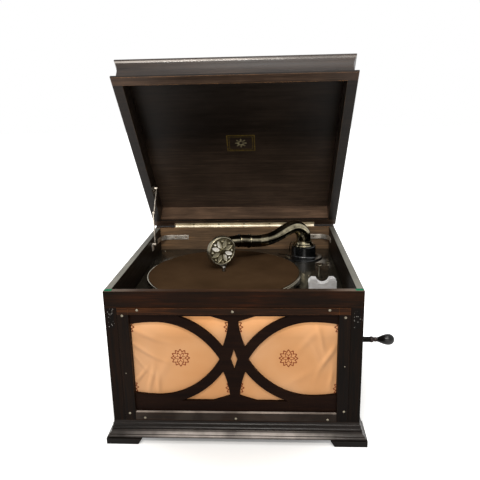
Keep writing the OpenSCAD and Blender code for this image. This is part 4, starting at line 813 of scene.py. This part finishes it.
# A rail's section: a fillet, a cove that flares out on a fourth power, and a sloped lip with a
# rounded top edge
flare = np.linspace(0, 1, 15)
cove = np.stack([-7.4 + 4.2 * flare**4, 290.0 + 34.6 * flare], -1)
lid_rail = np.concatenate([
    [[-19, 289.4], [-7.4, 289.4]], cove, [[-3.2, 325.2], [-2.9, 325.7], [-0.4, 329.9], [-0.1, 330.6]],
    arc((-2.6, 332.6), 2.5, -10, 88, 7), [[-19, 335.1]]])
lid_half_w = 220.5
rails = [swung_open(run) for run in mitred_runs(lid_half_w, half_d, lid_rail)]
piece("lid_rails", rails, rail_oak, "lid", ["lid_frame"])
dress(band_oak, "lid_band", ease=0.3)
dress(panel_oak, "lid_panel", ease=0.4)
# A thin bead glued along the case's rear edge to either side of the hinge, round the same axis as the
# hinge pin, fills the joint that the open lid leaves
spin = full_turn(24)
hinge_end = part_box("hinge_leaf_lid")[1][0] / mm + 0.4
radius = np.array([0, 2.1, 2.4, 2.4, 2.1, 0])[:, None]
beads = []
for start, stop in ((-half_w, -hinge_end), (hinge_end, half_w)):
    ends = np.array([start, start, start + 0.3, stop - 0.3, stop, stop])[:, None]
    beads.append(np.stack([ends + 0 * spin, hinge_y + radius * np.cos(spin),
                           hinge_z + radius * np.sin(spin)], -1))
piece("rim_beads", beads, rail_oak, "case")


# The hinge and the lid stay: a piano hinge in two leaves on a steel pin, screwed to case and lid, and
# two flat arms that fold at a rivet.
# Brushed nickel in a pale straw colour with long stains, and steel screws that have rusted dark
hinge_metal = metal("nickel_plate_brushed", "#e0d9c9", "#9a8f77", 0.45, 0.6, 34)
dress(hinge_metal, "hinge_leaf_case", "hinge_leaf_lid", "hinge_pin")
leaf_screw = metal("steel_screw_rusty", "#6b6455", "#2c261c", 0.4, 0.7, 3)
screw_gap = 61.5
case_heads = []
lid_heads = []
for k in range(-2, 3):
    case_heads.append(head_grid((screw_gap * k, 219, 282.98), (0, 0, 1), 2.3, 0.14, 0.7 * k, 0.5))
    closed_head = head_grid((screw_gap * k, 219, 283.32), (0, 0, -1), 2.3, 0.14, 0.9 * k, 0.5)
    lid_heads.append(swung_open(closed_head))
piece("hinge_screws_lid", lid_heads, leaf_screw, "lid")
piece("hinge_screws_case", case_heads, leaf_screw, "case")
dress(nickel_clip, "stay_bracket_case", "stay_bracket_lid", "stay_lower_arm", "stay_upper_arm",
      ease=0.2)


# The tonearm: a drawn and nickelled brass tube in a swan neck, standing in a collar on the black base,
# with the trip arm below it.
def painted_shade_on_tube(tree, spot, shade):
    """The straight part of the tube is painted dark above and below a narrow band, as painted shade,
    and least at one spot left as a painted highlight.
    """
    side = add(tree, "SeparateXYZ", spot).outputs["X"]
    # Painted shade: faces that lean away from a narrow bright band are darkened
    lean = add(tree, "Math", facing_up(tree), 0.42, operation="SUBTRACT")
    here = add(tree, "MapRange", add(tree, "Math", lean, operation="ABSOLUTE"), 0.06, 0.2, 0, 0.85)
    straight = add(tree, "MapRange", side, 0.075, 0.1, 1, 0)
    # Painted highlight: one spot along the tube is spared the shade
    highlight_spot = add(tree, "Math", side, 52 * mm, 7.5 * mm, operation="COMPARE")
    spared_for_highlight = add(tree, "MapRange", highlight_spot, 0, 1, 1, 0.1)
    for factor in (straight, spared_for_highlight):
        here = add(tree, "Math", here, factor, operation="MULTIPLY")
    return add(tree, "Mix", here, shade, ink("#211d17"), **painted)


# Nickel over drawn brass: mirror-bright in patches, almost black where it has tarnished, and painted
# dark on the tube's flanks
arm_nickel = metal("nickel_on_drawn_brass", "#a1987f", "#2b2519", 0.15, 0.95, 20, extra=painted_shade_on_tube)
dress(arm_nickel, "tonearm_tube", "soundbox_elbow", "trip_arm", "tonearm_collar")


# The soundbox: a nickelled brass drum with a rolled edge, whose pierced face shows a pale aluminium
# diaphragm through eight petals. The needle bar is pivoted at the foot of the face.
def turned(profile, origin, axis, count=64):
    """A turned form: points (radius, height) spun about an axis through the origin."""
    axis = np.array(axis, float) / np.linalg.norm(axis)
    side = np.cross(axis, [0.02, 0.03, 1.0])
    side /= np.linalg.norm(side)
    other = np.cross(axis, side)
    spin = full_turn(count)
    radius, height = np.array(profile, float).T
    rim = np.cos(spin)[:, None] * side + np.sin(spin)[:, None] * other
    return np.array(origin) + radius[:, None, None] * rim[None] + height[:, None, None] * axis


face_dir = np.array([0.5255, -0.8508, 0.0])
face_side = np.array([0.8508, 0.5255, 0.0])
box_centre = np.array([-36.0, -12.0, 290.6])
box_r = 31.0
drum = [(0, -7.4), (26, -7.4), (27.5, -7.0), (28.2, -6.0), (28.2, -3.0), (28.9, -2.2), (30.4, -1.8),
        (box_r, -0.6), (box_r, 3.2), (30.6, 4.6), (29.6, 6.4), (28.6, 7.2), (27.4, 7.5), (26.4, 7.1),
        (25.8, 6.2), (25.6, 5.0), (25.6, 4.0), (0, 4.0)]
# The drum's nickel is worn to a soft grey-gold
ring_nickel = metal("nickel_plate_soundbox", "#918a76", "#4d4634", 0.34, 0.6, 9)
piece("soundbox_drum", [turned(drum, box_centre, face_dir, 96)], ring_nickel, "soundbox",
      ["soundbox_body"], split=50)


def pierced_face(across, above):
    """How far a point of the face lies inside a petal or a round hole, from 0 to 1. A petal's half
    width follows a half wave from 7 to 24 mm out, and the eight round holes sit between the petals."""
    reach = np.hypot(across, above)
    sector = (np.arctan2(above, across) * 4 / math.pi) % 1.0 - 0.5
    half_width = 4.3 * np.sin(np.pi * np.clip((reach - 7.0) / 17.0, 0, 1)) ** 0.7
    inside = half_width - np.abs(reach * np.sin(sector * math.pi / 4))
    petal = np.clip(inside / 0.7 + 0.5, 0, 1) * (reach > 7)
    turn = (np.abs(sector) - 0.5) * math.pi / 4
    from_hole = np.hypot(reach * np.cos(turn) - 21.4, reach * np.sin(turn))
    return np.maximum(petal, np.clip((2.0 - from_hole) / 0.7 + 0.5, 0, 1))


face_r = 25.8
radial = np.linspace(0.0, face_r, 110)[:, None]
spin = full_turn(240)
across = radial * np.cos(spin)
above = radial * np.sin(spin)
boss = 1.3 * np.exp(-((radial / 5.4) ** 6))
domed = 6.0 + 0.9 * np.cos(radial / face_r * 1.57) + boss - 1.5 * pierced_face(across, above)
face_grid = (box_centre + across[..., None] * face_side + above[..., None] * np.array([0, 0, 1.0])
             + domed[..., None] * face_dir)
# Dull brass over spun aluminium: where it is pierced the metal is pale, with a painted highlight in two
# fans
pierced, tree, spot = new_material("brass_pierced_over_aluminium")
mask = add(tree, "Attribute", attribute_name="pierced").outputs["Fac"]
fan_highlight = add(tree, "Attribute", attribute_name="painted_fans").outputs["Fac"]
cloud = add(tree, "TexNoise", spot, spaced(3.846), 3)
painted_light_level = add(tree, "Math", cloud, 0.5, fan_highlight, operation="MULTIPLY_ADD")
pale = add(tree, "ValToRGB", painted_light_level, stops=[(0.25, "#8d8770"), (0.55, "#c8c3ae"), (0.9, "#fffdf6")])
dull = add(tree, "ValToRGB", cloud, stops=[(0.4, "#544d36"), (0.65, "#857d62")])
shade = add(tree, "Mix", mask, dull, pale, **painted)
gloss = add(tree, "MapRange", mask, 0, 1, 0.3, 0.45)
metallic = add(tree, "MapRange", mask, 0, 1, 0.9, 0.3)
add(tree, "OutputMaterial", add(tree, "BsdfPrincipled", {
    "Base Color": shade, "Roughness": gloss, "Metallic": metallic}))
front = piece("soundbox_face", [face_grid], pierced, "soundbox",
              ["soundbox_front", "soundbox_diaphragm"], split=80)
where = np.empty(len(front.data.vertices) * 3)
front.data.vertices.foreach_get("co", where)
where = where.reshape(-1, 3) / mm - box_centre
holes = pierced_face(where @ face_side, where[:, 2])
# Painted highlight: two opposite fans across the face, as turned metal shows them
turn = np.arctan2(where[:, 2], where @ face_side) - math.radians(146)
painted_fans = 0.7 * np.clip(np.cos(2 * turn), 0, 1) ** 0.8
for name, values in (("pierced", holes), ("painted_fans", painted_fans)):
    front.data.attributes.new(name, "FLOAT", "POINT").data.foreach_set("value", values)
# Four screws on the rim, the needle bar's clamp, its thumb screw and its pivots, and the steel needle
foot = box_centre + np.array([0, 0, -29.5]) + 7.0 * face_dir
holder = []
for a in np.radians([45, 135, 225, 315]):
    on_rim = 27.3 * math.cos(a) * face_side + np.array([0, 0, 27.3 * math.sin(a)]) + 7.2 * face_dir
    holder.append(head_grid(box_centre + on_rim, face_dir, 1.6, 0.9, 0.6 * a, 0.5))
clamp = [(0, -3.4), (1.4, -3.4), (1.7, -2.8), (1.7, 2.8), (1.4, 3.4), (0, 3.4)]
thumb = [(0, 3.4), (1.1, 3.4), (1.1, 5.4), (1.9, 5.6), (2.2, 6.2), (2.2, 7.2), (1.7, 7.8), (0, 7.8)]
pivots = [(0, -6.6), (1.1, -6.6), (1.4, -6.0), (1.4, -3.6), (1.1, -3.2), (0, -3.2)]
for profile, count in ((clamp, 24), (thumb, 24), (pivots, 20)):
    holder.append(turned(profile, foot, face_side, count))
# Blued steel that soaks up light, and a bronzed needle that stays pale brown
dark_steel = metal("steel_blued_dark", "#26221b", "#15120d", 0.7, 0.6, 6, 0.2)
piece("needle_holder", holder, dark_steel, "soundbox", ["needle_bar"])
needle_low, needle_high = [np.array(corner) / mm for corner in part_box("needle")]
needle_dir = np.array([needle_high[0], needle_low[1], needle_low[2]]) - foot
needle_len = np.linalg.norm(needle_dir)
shank = [(0, 0), (0.95, 0), (0.95, needle_len * 0.6), (0.75, needle_len * 0.8), (0.1, needle_len)]
needle_steel = metal("steel_needle_bronzed", "#f0dcc2", "#b59a7c", 0.6, 0.5, 4, 0.2)
piece("needle_steel", [turned(shank, foot, needle_dir, 16)], needle_steel, "soundbox", ["needle"])


# The crank: a bent and blackened steel rod, a dark bronze ferrule, and a turned beech knob stained and
# polished black.
# Oiled black steel with a soft gleam, and bronze darkened by hands
black_steel = metal("steel_blackened", "#151311", "#0c0b0a", 0.34, 0.7, 14)
bronze = metal("bronze_darkened", "#332c2a", "#1a1614", 0.3, 0.7, 9)
dress(black_steel, "crank_arm")
ferrule = [(4.42, 0), (5.6, 0), (6.4, 0.5), (6.7, 1.4), (6.7, 4.6), (6.4, 5.6), (5.5, 6.2), (5.0, 7.0),
           (4.9, 9.5), (5.1, 11.4), (5.3, 12.6), (5.0, 13.2), (4.42, 13.2)]
ferrule_low, ferrule_high = np.array(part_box("crank_ferrule")) / mm
crank_y = 20
crank_z = (ferrule_low[2] + ferrule_high[2]) / 2
piece("crank_collar", [turned(ferrule, (ferrule_low[0], crank_y, crank_z), (1, 0, 0), 48)], bronze,
      "crank", ["crank_ferrule"], (True, True))
knob_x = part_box("crank_knob")[0][0] / mm
knob_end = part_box("crank_knob")[1][0] / mm
part = np.linspace(0, 1, 34)
# The radius swells to 11.9 mm on a power of a sine and closes on a quarter of a flattened circle
swell = np.sin(math.pi / 2 * np.clip(part / 0.66, 0, 1)) ** 1.3
pear = (4.5 + 7.4 * swell) * np.sqrt(1 - np.clip((part - 0.62) / 0.38, 0, 1) ** 2.4)
pear_profile = np.concatenate([[[0, 0]], np.stack([pear, (knob_end - knob_x) * part], -1)])
# Beech stained through and polished: no edge shows paler, and it has the one clear highlight
beech = stained_oak("beech_turned_black", tones=("#070605", "#0d0b0a", "#171412"), shine=0.16,
                    level=0.3, wear=0.0)
piece("crank_pear", [turned(pear_profile, (knob_x, crank_y, crank_z), (1, 0, 0), 56)], beech,
      "crank_grip", ["crank_knob"])
